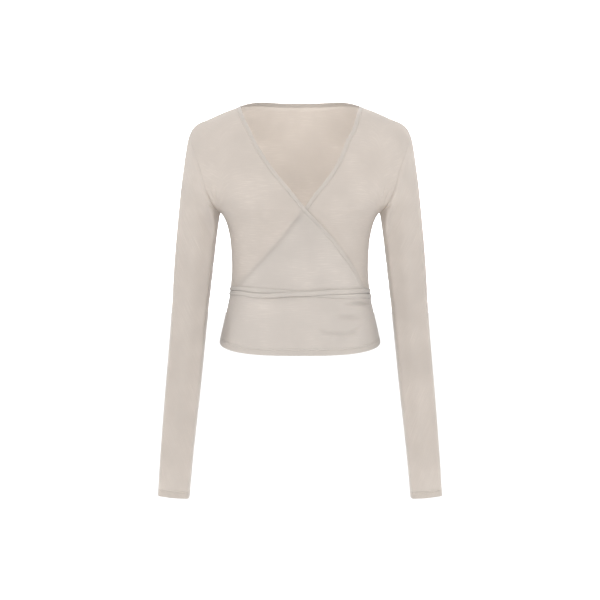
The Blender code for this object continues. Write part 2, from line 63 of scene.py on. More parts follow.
# The two wrap fronts
# Single jersey, cut in two halves that cross: the wearer's right one lies on top and runs over to the
# left side seam. Each is sewn at the shoulder, the armhole and both side seams, and its hem is turned
# up once and held by two rows of stitches.
PLY = 0.8 * MM  # jersey, drawn as a thin wall
SEAM_GAP = 0.1 * MM
UNDERLAP_SINK = 1.6 * MM  # how far the inner front lies beneath the outer one's face
UNDERLAP_MARGIN = 7.5 * MM
UNDERLAP_EASE = 14.0 * MM
# Shades above 0.3 also darken the cloth's colour, as painted shade.
UNDERLAP_SHADE = 0.2  # how much the ply behind shuts off, where a knot has 1
HEM_SHADE = 0.5  # the same for a turned-up hem
SEAM_DRAW = (0.35 * MM, 1.1 * MM)  # how deep and how wide a side seam draws the cloth in
PRESSED_DRAW = (0.05 * MM, 2.4 * MM)  # the same at the armholes and shoulders, which are pressed flatter
PRESSED_FROM = 25 * MM  # how far above the armpit the armhole is as flat as that
ALLOWANCE = (3.6 * MM, 1.6 * MM)  # how far from a seam its allowance shows, and how softly
SEAM_TURN = 6 * MM  # over which a panel's wall turns to face the next one at the seam
SIDE_LAP = 3.0 * MM  # of the sunk front's seam allowance, inside the back
SHOULDER_TIP_Z = -24.0 * MM
ARMPIT_Z = -165.0 * MM
WRAP_CORNER_Z = -302.0 * MM  # where both wrap edges reach the side seams, under the ties
HEM_SIDE_Z = -384.5 * MM
SIDE_SQUARENESS = 3.0  # power of the cross-section: 2 is an ellipse
ROLL_POWER = 0.58  # of the roll over the shoulder
ROLL_REACH = {"front": 110.0 * MM, "back": 90.0 * MM}
HEM_SLOPE = {"front": 0.165, "back": 0.065}  # the hem dips towards the middle
BUST_FORWARD = 17.0 * MM
BUST_X = 56.0 * MM
BUST_Z = -156.0 * MM
BUST_WIDTH = 46.0 * MM
BUST_RISE = 54.0 * MM  # how gently it starts above, and how soon it ends below
BUST_FALL = 36.0 * MM
BUST_DIP = 0.35  # share of the fullness that the cloth loses as it bridges the middle
HEM_DEPTH = 11.0 * MM
HEM_STAND = 0.35 * MM  # of its two plies
NEEDLE_ROWS = (0.2 * MM, -2.6 * MM)  # from the hem's depth
NEEDLE_GROOVE = 0.7 * MM  # how deep each row of the twin needle draws the cloth in, and how wide
HEM_EDGE = 0.9 * MM  # over which a fold's edge rounds off
NEAR_HEM = np.array([0, 0.4, 0.9, 1.6, 3, 5.2, 7.5, 8, 8.4, 8.8, 9.8, 10.7, 11.2, 11.7, 12.6, 14]) * MM
HEM_STITCHES = (8, 12)  # the rows of NEAR_HEM that the twin needle sews
NEAR_SEAM = np.array([0, 0.4, 0.8, 1.3, 1.9, 2.6, 3.5, 4.7, 6.2]) * MM
HEM_ROWS = 42
WAIST_ROWS = 84
WAIST_BIAS = 1.3
ARMHOLE_ROWS = 80
FRONT_COLUMNS = 130
FINE = 400  # steps in which a line on the cloth is measured
NUDGE = 0.05 * MM  # step over which a slope is measured


def table(columns, rows):
    """A table with named columns; the first column is the one it is looked up by."""
    return dict(zip(columns.split(), np.array(rows, float).T * MM))


TORSO = table(
    "z side front back",
    [
        (-420, 140, 95, 103),
        (-381, 136, 93, 98),
        (-350, 129.5, 88, 87),
        (-320, 122.5, 82, 74),
        (-299, 118.5, 79, 68.5),
        (-279, 116.8, 78, 67.5),
        (-258, 115.6, 78, 69),
        (-218, 117.3, 83, 79),
        (-187, 123, 90, 87),
        (-170, 130, 95, 91),
        (-165, 134.3, 96, 92),
        (-157, 142.8, 98, 93.5),
        (-150, 149.5, 98, 94.5),
        (-140, 158, 98, 96),
        (-120, 173, 96, 98),
        (-95, 190, 91, 99),
        (-60, 211, 82, 97),
        (-20, 216, 73, 90),
        (60, 216, 62, 80),
    ],
)
SHOULDER = table(
    "x z",
    [
        (0, 50),
        (30, 46),
        (60, 33.5),
        (100, 15.5),
        (128, 5),
        (155, -7),
        (172, -14.3),
        (182.5, -24),
        (187, -33),
    ],
)
ARMHOLE = table(
    "z x",
    [
        (-165, 134.3),
        (-157, 141.5),
        (-139, 151.5),
        (-118, 159),
        (-94, 165),
        (-78, 170.5),
        (-58, 178),
        (-40, 182.8),
        (-24, 182.5),
    ],
)
# Each front's edge under its binding, from the far side seam up to its own side of the neck.
# across counts from the middle, away from the side that the front starts on.
OUTER_EDGE = table(
    "z across",
    [
        (-302, 118.6),
        (-300.5, 115.5),
        (-298.5, 111.8),
        (-296, 108.7),
        (-264, 90.6),
        (-236.5, 70.7),
        (-210, 50.5),
        (-189, 32.2),
        (-156, 1.4),
        (-131, -18.9),
        (-111.7, -35.3),
        (-91.6, -51.2),
        (-68.3, -66.8),
        (-46.6, -80),
        (-28.2, -88.5),
        (-11, -97.3),
        (0, -102),
        (12.7, -106.8),
    ],
)
INNER_EDGE = table(
    "z across",
    [
        (-302, 118.6),
        (-300.5, 115.3),
        (-298.5, 111.2),
        (-296, 107.8),
        (-276.9, 91.7),
        (-236, 52.1),
        (-209.5, 27.8),
        (-189, 12.1),
        (-173.6, 0.4),
        (-154, -15.4),
        (-135.8, -28.6),
        (-116.4, -44.4),
        (-93.7, -60.6),
        (-67.8, -74.2),
        (-46.3, -82.4),
        (-27.8, -92.8),
        (-11, -98.6),
        (0, -101.6),
        (12.7, -106.8),
    ],
)
EDGE_HEIGHT = {name: OUTER_EDGE[name][::-1] for name in ("across", "z")}
# Creases below the ties: middle, half the length, width, how the ends turn up, how deep each is pressed
# (below 0 it is raised), and its slant in thousandths of a degree.
FRONT_FOLDS = table(
    "x z length width turn_up depth slant",
    [
        (100, -315, 31, 2.8, 0, 4.4, -6000),
        (80, -337.6, 26, 3.2, 3, 3.4, -4000),
        (58, -364, 31, 3.2, 3, 3.8, -6000),
        (89, -362, 16, 3.2, 1.5, 3.2, 22000),
        (104, -308.5, 26, 3.2, 0, -0.9, -7000),
        (92, -323, 30, 6, 2, -1.2, -4000),
        (74, -347, 32, 6, 5, -1.1, -2000),
        (-88, -318, 26, 4, 2, 0.5, 3000),
        (-62, -352, 34, 4, 5, 0.4, 2000),
    ],
)
# The same for those that the arm's weight draws to the armpit; x counts outwards from the middle.
ARMPIT_FOLDS = table(
    "x z length width turn_up depth slant",
    [
        (150.5, -139, 20, 2.1, 1.5, 1.2, 58000),
        (145, -138.5, 16, 1.8, 1, 1.7, 66000),
        (140.6, -132, 15, 2.2, 0, 2.1, 86000),
        (147.5, -152.5, 12, 2.2, -1.5, 2.2, 34000),
        (133, -141, 17, 3, 1, 0.9, 112000),
        (128, -150, 15, 3.2, 0, 0.7, 133000),
    ],
)
# How far the cloth at the armhole spans the hollow in front of and behind the armpit, clear of the
# body, and how far that reaches into the body's panels and down the sleeve.
ARMPIT_SPAN = table(
    "z clear",
    [
        (-165, 0),
        (-163.5, 13),
        (-160, 25),
        (-155, 28),
        (-145, 25),
        (-130, 18),
        (-110, 11),
        (-90, 6),
        (-70, 2.5),
        (-50, 0),
    ],
)
SPAN_REACH = 46 * MM
SLEEVE_SPAN_REACH = 64 * MM


def look_up(rows, column, key):
    """A column of a table at any key, on a smooth curve that never overshoots its rows."""
    knots, values = rows[next(iter(rows))], rows[column]
    steps = np.diff(knots)
    climbs = np.diff(values) / steps
    slopes = np.concatenate([climbs[:1], np.zeros(len(climbs) - 1), climbs[-1:]])
    same_way = climbs[:-1] * climbs[1:] > 0
    slopes[1:-1][same_way] = 2 * (climbs[:-1] * climbs[1:])[same_way] / (climbs[:-1] + climbs[1:])[same_way]
    key = np.clip(np.asarray(key, float), knots[0], knots[-1])
    i = np.clip(np.searchsorted(knots, key, side="right") - 1, 0, len(steps) - 1)
    t = (key - knots[i]) / steps[i]
    rest = 1 - t
    return (
        values[i] * (1 + 2 * t) * rest**2
        + slopes[i] * steps[i] * t * rest**2
        + values[i + 1] * t**2 * (3 - 2 * t)
        - slopes[i + 1] * steps[i] * t**2 * rest
    )


def ease(share):
    """0 to 1, starting and ending gently."""
    share = np.clip(share, 0, 1)
    return share * share * (3 - 2 * share)


def unit(vectors):
    return vectors / np.maximum(np.linalg.norm(vectors, axis=-1, keepdims=True), 1e-12)


def shoulder_z(x):
    return look_up(SHOULDER, "z", np.abs(x))


def fullness(x, z):
    """How far the bust lifts the front."""
    beside = np.maximum(np.abs(x) - BUST_X, 0) / BUST_WIDTH
    bridge = 1 - BUST_DIP * np.exp(-((x / (0.6 * BUST_X)) ** 2))
    height = (z - BUST_Z) / np.where(z > BUST_Z, BUST_RISE, BUST_FALL)
    return BUST_FORWARD * bridge * np.exp(-(beside**2) - height**2)


def reach(half, x, z, below_shoulder):
    """Depth of the torso before its sides round off."""
    share = np.clip(below_shoulder / ROLL_REACH[half], 0, 1)
    depth = look_up(TORSO, half, z) * (1 - (1 - share) ** 2) ** ROLL_POWER
    return depth + fullness(x, z) if half == "front" else depth


def side_share(x, z):
    return 1 - (np.abs(x) / look_up(TORSO, "side", z)) ** SIDE_SQUARENESS


def hem_slope(half, z):
    return HEM_SLOPE[half] * ease((WRAP_CORNER_Z - z) / (WRAP_CORNER_Z - HEM_SIDE_Z))


def row_end(level):
    """How far from the middle a row reaches: to the side seam, or above the armpit to the armhole."""
    return np.where(level <= ARMPIT_Z, look_up(TORSO, "side", level), look_up(ARMHOLE, "x", level))


def row_z(level, x):
    """Height along a row: level, and more and more parallel to the shoulder seam near the top."""
    rise = ease((level - ARMPIT_Z) / (SHOULDER_TIP_Z - ARMPIT_Z))
    return level + rise * (shoulder_z(x) - shoulder_z(row_end(level)))


def torso_point(half, x, z):
    """The point of the front or the back at x, z, let down where the hem dips."""
    below = np.maximum(shoulder_z(x) - z, 0)
    depth = reach(half, x, z, below) * np.sqrt(np.maximum(side_share(x, z), 0))
    y = -depth if half == "front" else depth
    return np.stack([x, y, z - hem_slope(half, z) * depth], axis=-1)


def row_point(half, level, x):
    return torso_point(half, x, row_z(level, x))


def outside(half, points):
    """Above 0 outside the torso and below 0 inside it."""
    x, y, z = points[..., 0], points[..., 1], points[..., 2]
    z = z + hem_slope(half, z) * np.abs(y)
    below = shoulder_z(x) - z
    below = (below + np.hypot(below, 8 * NUDGE)) / 2  # never 0, so that the shoulder line has a slope
    return y**2 - reach(half, x, z, below) ** 2 * side_share(x, z)


def torso_normal(half, points):
    slope = [outside(half, points + step) - outside(half, points - step) for step in NUDGE * np.eye(3)]
    return unit(np.stack(slope, axis=-1))


def on_torso(half, points):
    """Points brought back to the torso's surface."""
    for _ in range(5):
        normal = torso_normal(half, points)
        ahead, behind = outside(half, points + normal * NUDGE), outside(half, points - normal * NUDGE)
        points = points - normal * (NUDGE * (ahead + behind) / (ahead - behind))[..., None]
    return points


def along(points, axis=0):
    """How far each point of a line or grid is from its first point, row or column, on the cloth."""
    steps = np.linalg.norm(np.diff(points, axis=axis), axis=-1)
    start = np.zeros_like(np.take(steps, [0], axis=axis))
    return np.concatenate([start, np.cumsum(steps, axis=axis)], axis=axis)


def at_shares(line, share, values):
    """Values along a line, at those shares of its length."""
    long = along(line)
    return np.interp(np.asarray(share) * long[-1], long, values)


def row_shares(length, columns):
    """Shares of a row's length for its columns, which stand close together beside the seams."""
    near = NEAR_SEAM / length
    even = np.linspace(near[-1], 1 - near[-1], columns + 3 - 2 * len(near))
    return np.concatenate([near[:-1], even, 1 - near[-2::-1]])


def spaced_x(half, start, end, columns):
    """x of each row's columns from start to end, spaced on the cloth."""
    limit = row_end(LEVELS)
    turns = np.linspace(
        np.arcsin(np.clip(start / limit, -1, 1)), np.arcsin(np.clip(end / limit, -1, 1)), FINE, axis=1
    )
    fine = limit[:, None] * np.sin(turns)
    lines = row_point(half, LEVELS[:, None], fine)
    lengths = np.linalg.norm(np.diff(lines, axis=1), axis=2).sum(1)
    return np.array(
        [at_shares(line, row_shares(long, columns), x) for line, long, x in zip(lines, lengths, fine)]
    )


def panel_levels():
    """Levels of a panel's rows from hem to shoulder, close together at the hem's stitches."""
    fine = np.linspace(ARMPIT_Z, SHOULDER_TIP_Z, FINE)
    line = row_point("front", fine, row_end(fine))
    armhole = at_shares(line, np.linspace(0, 1, ARMHOLE_ROWS + 1), fine)
    hem = np.linspace(HEM_SIDE_Z + NEAR_HEM[-1], WRAP_CORNER_Z, HEM_ROWS)
    waist = WRAP_CORNER_Z + (ARMPIT_Z - WRAP_CORNER_Z) * np.linspace(0, 1, WAIST_ROWS + 1) ** WAIST_BIAS
    return np.concatenate([HEM_SIDE_Z + NEAR_HEM[:-1], hem[:-1], waist[:-1], armhole])


LEVELS = panel_levels()
TOP_ROW = len(LEVELS) - 1
ARMPIT_ROW = TOP_ROW - ARMHOLE_ROWS
CORNER_ROW = ARMPIT_ROW - WAIST_ROWS


def creases(points, folds):
    """How far the creases of a table press the cloth in at these points."""
    depth = np.zeros(points.shape[:-1])
    for x, z, length, width, turn_up, press, slant in zip(*folds.values()):
        turn = np.radians(slant)
        beside, above = points[..., 0] - x, points[..., 2] - z
        way = (beside * np.cos(turn) + above * np.sin(turn)) / length
        off = above * np.cos(turn) - beside * np.sin(turn) - turn_up * way**2
        depth += press * np.exp(-(way**2) * 2 - (off / width) ** 2)
    return depth


def armpit_creases(points, side):
    """The creases on both sides of one armpit; side is -1 for the wearer's right."""
    return creases(mirrored(points, side), ARMPIT_FOLDS)


def armpit_span(level, distance):
    """How far the body's cloth stands off the armpit's hollow at a distance from the armhole."""
    return look_up(ARMPIT_SPAN, "clear", level) * np.clip(1 - distance / SPAN_REACH, 0, 1) ** 2


def swell(distance, at, height, width):
    """A soft ridge at one distance from a seam or edge; one with a height below 0 is a furrow."""
    return height * np.exp(-(((distance - at) / width) ** 2))


def seam_relief(distance, depth, width):
    """How a sewn seam draws the cloth in, with its allowances just showing beside it."""
    return swell(distance, ALLOWANCE[0], 0.3 * depth, ALLOWANCE[1]) - swell(distance, 0, depth, width)


def side_relief(distance):
    """The same at a panel's side seam, and above it at the armhole."""
    share = ease((LEVELS - ARMPIT_Z) / PRESSED_FROM)[:, None]
    side, armhole = (seam_relief(distance, *draw) for draw in (SEAM_DRAW, PRESSED_DRAW))
    return side + share * (armhole - side)


def hem_relief(distance, depth):
    """How far a turned-up hem stands out: its two plies, and the two rows of stitches that hold it."""
    stands = HEM_STAND * (1 - ease((distance - depth + 0.6 * MM) / (1.4 * MM)))
    for row in NEEDLE_ROWS:
        stands -= swell(distance - depth, row, NEEDLE_GROOVE, NEEDLE_GROOVE)
    return stands


def edge_rounding(distance):
    """Share of the wall's thickness that a folded edge loses over its last millimetre."""
    return 1 - np.sqrt(1 - (1 - np.clip(distance / HEM_EDGE, 0, 1)) ** 2) * 0.85 - 0.15


def hem_shade(distance, depth, shade):
    """How much less light a turned-up hem lets through, and above 0.3 how far painted shade darkens its
    colour.
    """
    return shade - shade * ease((distance - depth) / (1.2 * MM) + 0.5)


def on_flat(half, points):
    """Where each point lies on the flat cloth: across from the middle, and up from the armpit's height."""
    x, z = points[..., 0], points[..., 2]
    side = look_up(TORSO, "side", z)
    heights = ARMPIT_Z + (z - ARMPIT_Z)[..., None] * np.linspace(0, 1, 24)
    line = torso_point(half, np.broadcast_to(x[..., None], heights.shape), heights)
    climb = np.hypot(np.diff(line[..., 1]), np.diff(line[..., 2])).sum(-1)
    return np.stack([side * np.arcsin(np.clip(x / side, -1, 1)), np.sign(z - ARMPIT_Z) * climb], axis=-1)


def mirrored(vectors, side):
    return vectors * np.array([side, 1.0, 1.0])


# How torso and sleeve part at the armhole, worked out once for the wearer's left one: the loop from
# the armpit up the front, over the shoulder and down the back.
SLEEVE = table(
    "outer_x outer_z inner_x inner_z middle_y half_depth",
    [
        (182.5, -24, 134.3, -165, 2.5, 52),
        (188.5, -38, 135.3, -168, 2.5, 51.5),
        (192.5, -58, 136.2, -171, 3, 51),
        (196, -82, 136.9, -174.5, 3, 50),
        (199.5, -107, 137.6, -179, 3, 49),
        (202.5, -133, 138.6, -185, 3, 48),
        (205, -159, 139.8, -193.5, 3, 47),
        (207.3, -184, 141.3, -204, 3, 46),
        (210, -214, 143.4, -222, 2, 45),
        (213.6, -262, 148.4, -268, 0, 43),
        (218.3, -345, 157.8, -350, -5, 39.5),
        (223.3, -410, 164, -415, -12, 37.5),
        (228.3, -473, 170.2, -478, -22, 35.5),
        (232.4, -531, 176.4, -536, -33, 33),
        (236.2, -590, 182.2, -595, -43, 30),
        (238.6, -637, 186.2, -642, -50, 28),
    ],
)
FAN_RINGS = 8
FAN_ROWS = 64
ARM_ROWS = 150
CUFF_DEPTH = 12.0 * MM
SLEEVE_SQUARENESS = 2.3  # how much fuller than an ellipse it is between its front and its seam


def edge_way(half, level):
    """The way in which a row leaves its panel at the armhole."""
    end = row_point(half, level, row_end(level))
    if level in (ARMPIT_Z, SHOULDER_TIP_Z):
        return unit(np.cross([0.0, 1.0, 0.0], torso_normal(half, end)) * [1, 0, 1])
    return unit(end - row_point(half, level, row_end(level) * (1 - 1e-4)))


def armhole_loop():
    up = LEVELS[ARMPIT_ROW:]
    ends = {half: row_point(half, up, row_end(up)) for half in ("front", "back")}
    normals = {half: torso_normal(half, ends[half]) for half in ends}
    ways = {half: np.array([edge_way(half, level) for level in up]) for half in ends}
    return [np.concatenate([part["front"], part["back"][-2:0:-1]]) for part in (ends, normals, ways)]


def sleeve_ring(step, angle):
    """Points of the sleeve's ring at a row of its table, or between two, at angles from the underarm."""
    order = {"row": np.arange(len(SLEEVE["outer_x"])), **SLEEVE}
    size = {name: look_up(order, name, step) for name in SLEEVE}
    outer = np.array([size["outer_x"], 0, size["outer_z"]])
    inner = np.array([size["inner_x"], 0, size["inner_z"]])
    middle = (outer + inner) / 2 + [0, size["middle_y"], 0]
    across = np.outer(np.cos(angle), (outer - inner) / 2)
    below_shoulder = ease((step - 3) / 6)
    near_underarm = ease(0.5 + 0.8 * np.cos(angle))
    square = SLEEVE_SQUARENESS * (below_shoulder + (1 - below_shoulder) * near_underarm)
    forward = np.sin(angle) * (1 + square * (1 - np.abs(np.sin(angle))) ** 2)
    return middle - across - np.outer(forward, [0, size["half_depth"], 0])


def sleeve_steps():
    """Where the sleeve's rings stand in its table: a fan at the shoulder, then evenly to the cuff."""
    last = len(SLEEVE["outer_x"]) - 1
    long = np.hypot(*(SLEEVE[name][-1] - SLEEVE[name][-2] for name in ("inner_x", "inner_z")))
    cuff = last - np.append(np.arange(5) * MM / 2, NEAR_HEM[3:] + CUFF_DEPTH - HEM_DEPTH) / long
    arm = np.linspace(FAN_RINGS, cuff.min(), ARM_ROWS + 1)
    return np.concatenate([np.linspace(0, FAN_RINGS, FAN_ROWS + 1), arm[1:-1], np.sort(cuff)])


def sleeve_rings():
    """Points of the wearer's left sleeve, a row for each ring, starting at the armhole."""
    loop, _, _ = armhole_loop()
    under, front, over = (sleeve_ring(0, [turn])[0] for turn in (0, np.pi / 2, np.pi))
    middle, up = (under + over) / 2, (over - under) / 2
    forward = front - middle
    from_middle = loop - middle
    ahead, below = from_middle @ forward / (forward @ forward), -from_middle @ up / (up @ up)
    own_angle = np.unwrap(np.append(0, np.arctan2(ahead, below)[1:]))
    even_angle = 2 * np.pi * np.arange(len(loop)) / len(loop)
    left_over = loop - sleeve_ring(0, own_angle)
    rings = []
    for step in sleeve_steps():
        settled = ease(step / FAN_RINGS)
        angle = own_angle + settled * (even_angle - own_angle)
        rings.append(sleeve_ring(step, angle) + (1 - settled) * left_over)
    return np.array(rings)


def sleeve_normals(rings):
    down = np.gradient(rings, axis=0)
    ahead, behind = np.roll(rings, -1, axis=1), np.roll(rings, 1, axis=1)
    normals = unit(np.cross(ahead - behind, down))
    middle = rings.mean(axis=1, keepdims=True)
    return normals * np.sign((normals * (rings - middle)).sum(-1).mean())


def armhole_seam(rings, normals):
    """The way from torso to sleeve at the armhole, and each one's way inwards."""
    _, body_normals, body_ways = armhole_loop()
    sleeve_ways = unit(rings[2] - rings[0])
    apart = unit(body_ways + sleeve_ways)
    ridge = (sleeve_ways * body_normals).sum(-1, keepdims=True) < 0
    both = unit(body_normals + normals[0])
    spread = np.maximum((both * body_normals).sum(-1, keepdims=True), 0.8)
    body = np.where(ridge, both / spread, body_normals)
    sleeve = np.where(ridge, both / spread, normals[0])
    return apart, body, sleeve


RINGS = sleeve_rings()
RING_NORMALS = sleeve_normals(RINGS)
APART, BODY_SEAM_NORMAL, SLEEVE_SEAM_NORMAL = armhole_seam(RINGS, RING_NORMALS)


def edge_x(edge, side):
    """x at which each row of a front ends: at its binding, or below the corner at the far side seam.

    side is +1 for the front that starts at the wearer's right (-X) and crosses towards +X.
    """
    low, high = -row_end(LEVELS), row_end(LEVELS)
    for _ in range(40):
        middle = (low + high) / 2
        short = middle < look_up(edge, "across", row_z(LEVELS, middle))
        low, high = np.where(short, middle, low), np.where(short, high, middle)
    return side * np.where(LEVELS <= WRAP_CORNER_Z, row_end(LEVELS), low)


def sew_edge(half, points, walls, distance, column, side):
    """Parts a panel's edge column from the back or front and the sleeve, and turns its wall to the seam."""
    off_seam = np.array([0, -SEAM_GAP / 2 if half == "front" else SEAM_GAP / 2, 0])
    points[: ARMPIT_ROW + 1, column] += off_seam
    k = np.arange(ARMHOLE_ROWS + 1)
    if half == "back":
        k[1:-1] = 2 * ARMHOLE_ROWS - k[1:-1]
    points[ARMPIT_ROW:, column] -= mirrored(APART[k], side) * SEAM_GAP / 2
    turned = (1 - ease(distance[ARMPIT_ROW:] / SEAM_TURN))[..., None]
    walls[ARMPIT_ROW:] += turned * (mirrored(BODY_SEAM_NORMAL[k], side)[:, None] - walls[ARMPIT_ROW:])


def front_panel(side, edge, sink):
    """Outer and inner points of a wrap front, and its place on the flat cloth."""
    x = spaced_x("front", -side * row_end(LEVELS), edge_x(edge, side), FRONT_COLUMNS)
    points = row_point("front", LEVELS[:, None], x)
    walls = torso_normal("front", points)
    flat = on_flat("front", points)
    from_start, up = along(points, 1), along(points)
    from_end = from_start[:, -1:] - from_start
    stands = side_relief(from_start) + seam_relief(from_end, *SEAM_DRAW)
    stands += seam_relief(up[-1:] - up, *PRESSED_DRAW) + hem_relief(up, HEM_DEPTH)
    thick = PLY * (1 - edge_rounding(up))
    sunk = sink(points)
    stands -= sunk + creases(points, FRONT_FOLDS) + armpit_creases(points, -side) + (PLY - thick) / 2
    points += walls * stands[..., None]
    points[..., 1] -= armpit_span(LEVELS[:, None], from_start)
    points[TOP_ROW] -= [0, SEAM_GAP / 2, 0]
    sew_edge("front", points, walls, from_start, 0, -side)
    clear_of_back = PLY + SEAM_GAP
    points[:, 0, 1] += SIDE_LAP * ease((sunk[:, 0] - clear_of_back) / (UNDERLAP_SINK - clear_of_back))
    return points, points - walls * thick[..., None], flat


def nothing(points):
    """Neither sunk nor shaded at any of the points."""
    return np.zeros(points.shape[:-1])


def under_outer_front(points):
    """How far the inner front sinks, so that the outer one lies over it."""
    x, z = points[..., 0], points[..., 2]
    side = look_up(TORSO, "side", z)
    edge = look_up(OUTER_EDGE, "across", z)
    beside = side * (np.arcsin(np.clip(x / side, -1, 1)) - np.arcsin(np.clip(edge / side, -1, 1)))
    above = z - look_up(EDGE_HEIGHT, "z", x)
    beside, above = np.maximum(beside, 0), np.maximum(above, 0)
    past = beside * above / np.maximum(np.hypot(beside, above), NUDGE)
    return UNDERLAP_SINK * (1 - ease((past - UNDERLAP_MARGIN) / UNDERLAP_EASE))


def underlap_shade(points):
    """How much less light comes through the outer front where the inner one lies behind it."""
    covered = points[..., 0] + look_up(INNER_EDGE, "across", points[..., 2])
    return UNDERLAP_SHADE * ease(covered / (5 * MM) + 0.5)


def linear(colour):
    """An sRGB hex colour as linear values."""
    share = np.array([int(colour[i : i + 2], 16) for i in (1, 3, 5)]) / 255
    return (*np.where(share <= 0.04045, share / 12.92, ((share + 0.055) / 1.055) ** 2.4), 1.0)


def add_node(tree, kind, sockets=(), **settings):
    """Adds a node with its settings; a socket's value is a number, a colour or another node's output."""
    made = tree.nodes.new("ShaderNode" + kind)
    for name, value in settings.items():
        setattr(made, name, value)
    for socket, value in dict(sockets).items():
        if isinstance(value, bpy.types.NodeSocket):
            tree.links.new(value, made.inputs[socket])
        else:
            made.inputs[socket].default_value = value
    return made


def jersey(name, light, dark, plies_painted_shade):
    """Fine single jersey, knitted of combed cotton: matt and soft, with a faint sheen of fibre ends.

    The knit lets light through, so the face is lit from both sides. The attribute "plies" says how much
    of that other plies shut off: up to 0.3 less comes through, and above that the colour is darkened too,
    as painted shade.
    Slubs in the yarn show here and there as pale streaks along the courses.
    """
    made = bpy.data.materials.new(name)
    made.use_nodes = True
    tree = made.node_tree
    shader = tree.nodes["Principled BSDF"]
    shader.inputs["Roughness"].default_value = 0.9
    shader.inputs["Sheen Weight"].default_value = 0.9
    shader.inputs["Sheen Roughness"].default_value = 0.5
    shader.inputs["Specular IOR Level"].default_value = 0.25
    grain = add_node(tree, "UVMap", uv_map="grain").outputs["UV"]
    place = add_node(tree, "TexCoord").outputs["Object"]
    # Slubs run about 25 mm along a course and are one to three courses, 1.6 mm, high. They lie in
    # loose patches 60 mm across.
    slub_place = add_node(tree, "Mapping", {"Vector": grain, "Scale": (1 / 0.025, 1 / 0.0016, 1)})
    slubs = add_node(tree, "TexNoise", {"Vector": slub_place.outputs[0], "Scale": 1.0, "Detail": 2.0})
    patches = add_node(tree, "TexNoise", {"Vector": place, "Scale": 1 / 0.06, "Detail": 3.0})
    # Courses are 0.5 mm apart in the real cloth, which is too fine to show, so they are drawn at 1.1 mm.
    knit_place = add_node(tree, "Mapping", {"Vector": grain, "Scale": (1 / 0.0022, 1 / 0.0011, 1)})
    knit = add_node(tree, "TexNoise", {"Vector": knit_place.outputs[0], "Scale": 1.0, "Detail": 1.0})
    streak = add_node(
        tree, "MapRange", {"Value": slubs.outputs["Fac"], "From Min": 0.5, "From Max": 0.8, "To Max": 0.9}
    )
    patchy = add_node(
        tree, "MapRange", {"Value": patches.outputs["Fac"], "From Min": 0.35, "From Max": 0.65}
    )
    slubby = add_node(
        tree, "Math", {0: streak.outputs[0], 1: patchy.outputs[0]}, operation="MULTIPLY", use_clamp=True
    )
    tone = add_node(
        tree, "Math", {0: patchy.outputs[0], 1: 0.3, 2: slubby.outputs[0]}, operation="MULTIPLY_ADD"
    )
    cloth_colour = add_node(
        tree,
        "Mix",
        {"Factor": tone.outputs[0], "A": linear(dark), "B": linear(light)},
        data_type="RGBA",
    )
    plies = add_node(tree, "Attribute", attribute_name="plies")
    # Above 0.3 the cloth colour is multiplied darker: painted shade at hems, cuffs, bindings, ties and the
    # knot.
    painted_shade_share = add_node(tree, "MapRange", {"Value": plies.outputs["Fac"], "From Min": 0.3})
    colour = add_node(
        tree,
        "Mix",
        {"Factor": painted_shade_share.outputs[0], "A": cloth_colour.outputs["Result"], "B": linear(plies_painted_shade)},
        data_type="RGBA",
        blend_type="MULTIPLY",
    )
    rough = add_node(
        tree, "Bump", {"Height": knit.outputs["Fac"], "Strength": 0.25, "Distance": 0.3 * MM}
    )
    streaked = add_node(
        tree,
        "Bump",
        {"Height": slubby.outputs[0], "Strength": 0.3, "Distance": 0.3 * MM, "Normal": rough.outputs[0]},
    )
    tree.links.new(colour.outputs["Result"], shader.inputs["Base Color"])
    tree.links.new(streaked.outputs[0], shader.inputs["Normal"])
    through = add_node(
        tree, "BsdfTranslucent", {"Color": colour.outputs["Result"], "Normal": streaked.outputs[0]}
    )
    single = add_node(
        tree, "MapRange", {"Value": plies.outputs["Fac"], "From Max": 0.3, "To Min": 0.6, "To Max": 0.49}
    )
    both = add_node(
        tree, "MixShader", {0: single.outputs[0], 1: shader.outputs[0], 2: through.outputs[0]}
    )
    tree.links.new(both.outputs[0], tree.nodes["Material Output"].inputs["Surface"])
    return made


def cloth(name, node, outer, inner, flat, shade, material, around=False):
    """A piece of cloth in the place of a solid: a grid of outer points, and a skin of inner ones.

    flat is each point's place on the flat cloth, and shade how much other plies shut off there, and above
    0.3 how far painted shade darkens the colour.
    """
    rows, columns = outer.shape[:2]
    shade = np.broadcast_to(shade, (rows, columns))
    wide = columns if around else columns - 1
    mesh = bmesh.new()
    bmesh.ops.create_grid(mesh, x_segments=wide, y_segments=rows - 1, size=0.5)
    behind = mesh.verts.layers.float.new("plies")
    grain = mesh.loops.layers.uv.new("grain")
    for vert in mesh.verts:
        vert.co.x = round((vert.co.x + 0.5) * wide)
        vert.co.y = round((vert.co.y + 0.5) * (rows - 1))
        vert[behind] = shade[round(vert.co.y), round(vert.co.x) % columns]
    for face in mesh.faces:
        for loop in face.loops:
            loop[grain].uv = flat[round(loop.vert.co.y), round(loop.vert.co.x)]
    if around:
        left = {round(v.co.y): v for v in mesh.verts if v.co.x == 0}
        right = {v: left[round(v.co.y)] for v in mesh.verts if v.co.x == wide}
        bmesh.ops.weld_verts(mesh, targetmap=right)
    made = bmesh.ops.extrude_face_region(mesh, geom=mesh.faces[:], use_keep_orig=True)
    second = {v for v in made["geom"] if isinstance(v, bmesh.types.BMVert)}
    for vert in mesh.verts:
        skin = inner if vert in second else outer
        vert.co = skin[round(vert.co.y), round(vert.co.x)]
    bmesh.ops.recalc_face_normals(mesh, faces=mesh.faces[:])
    return sewn_in(name, mesh, material)


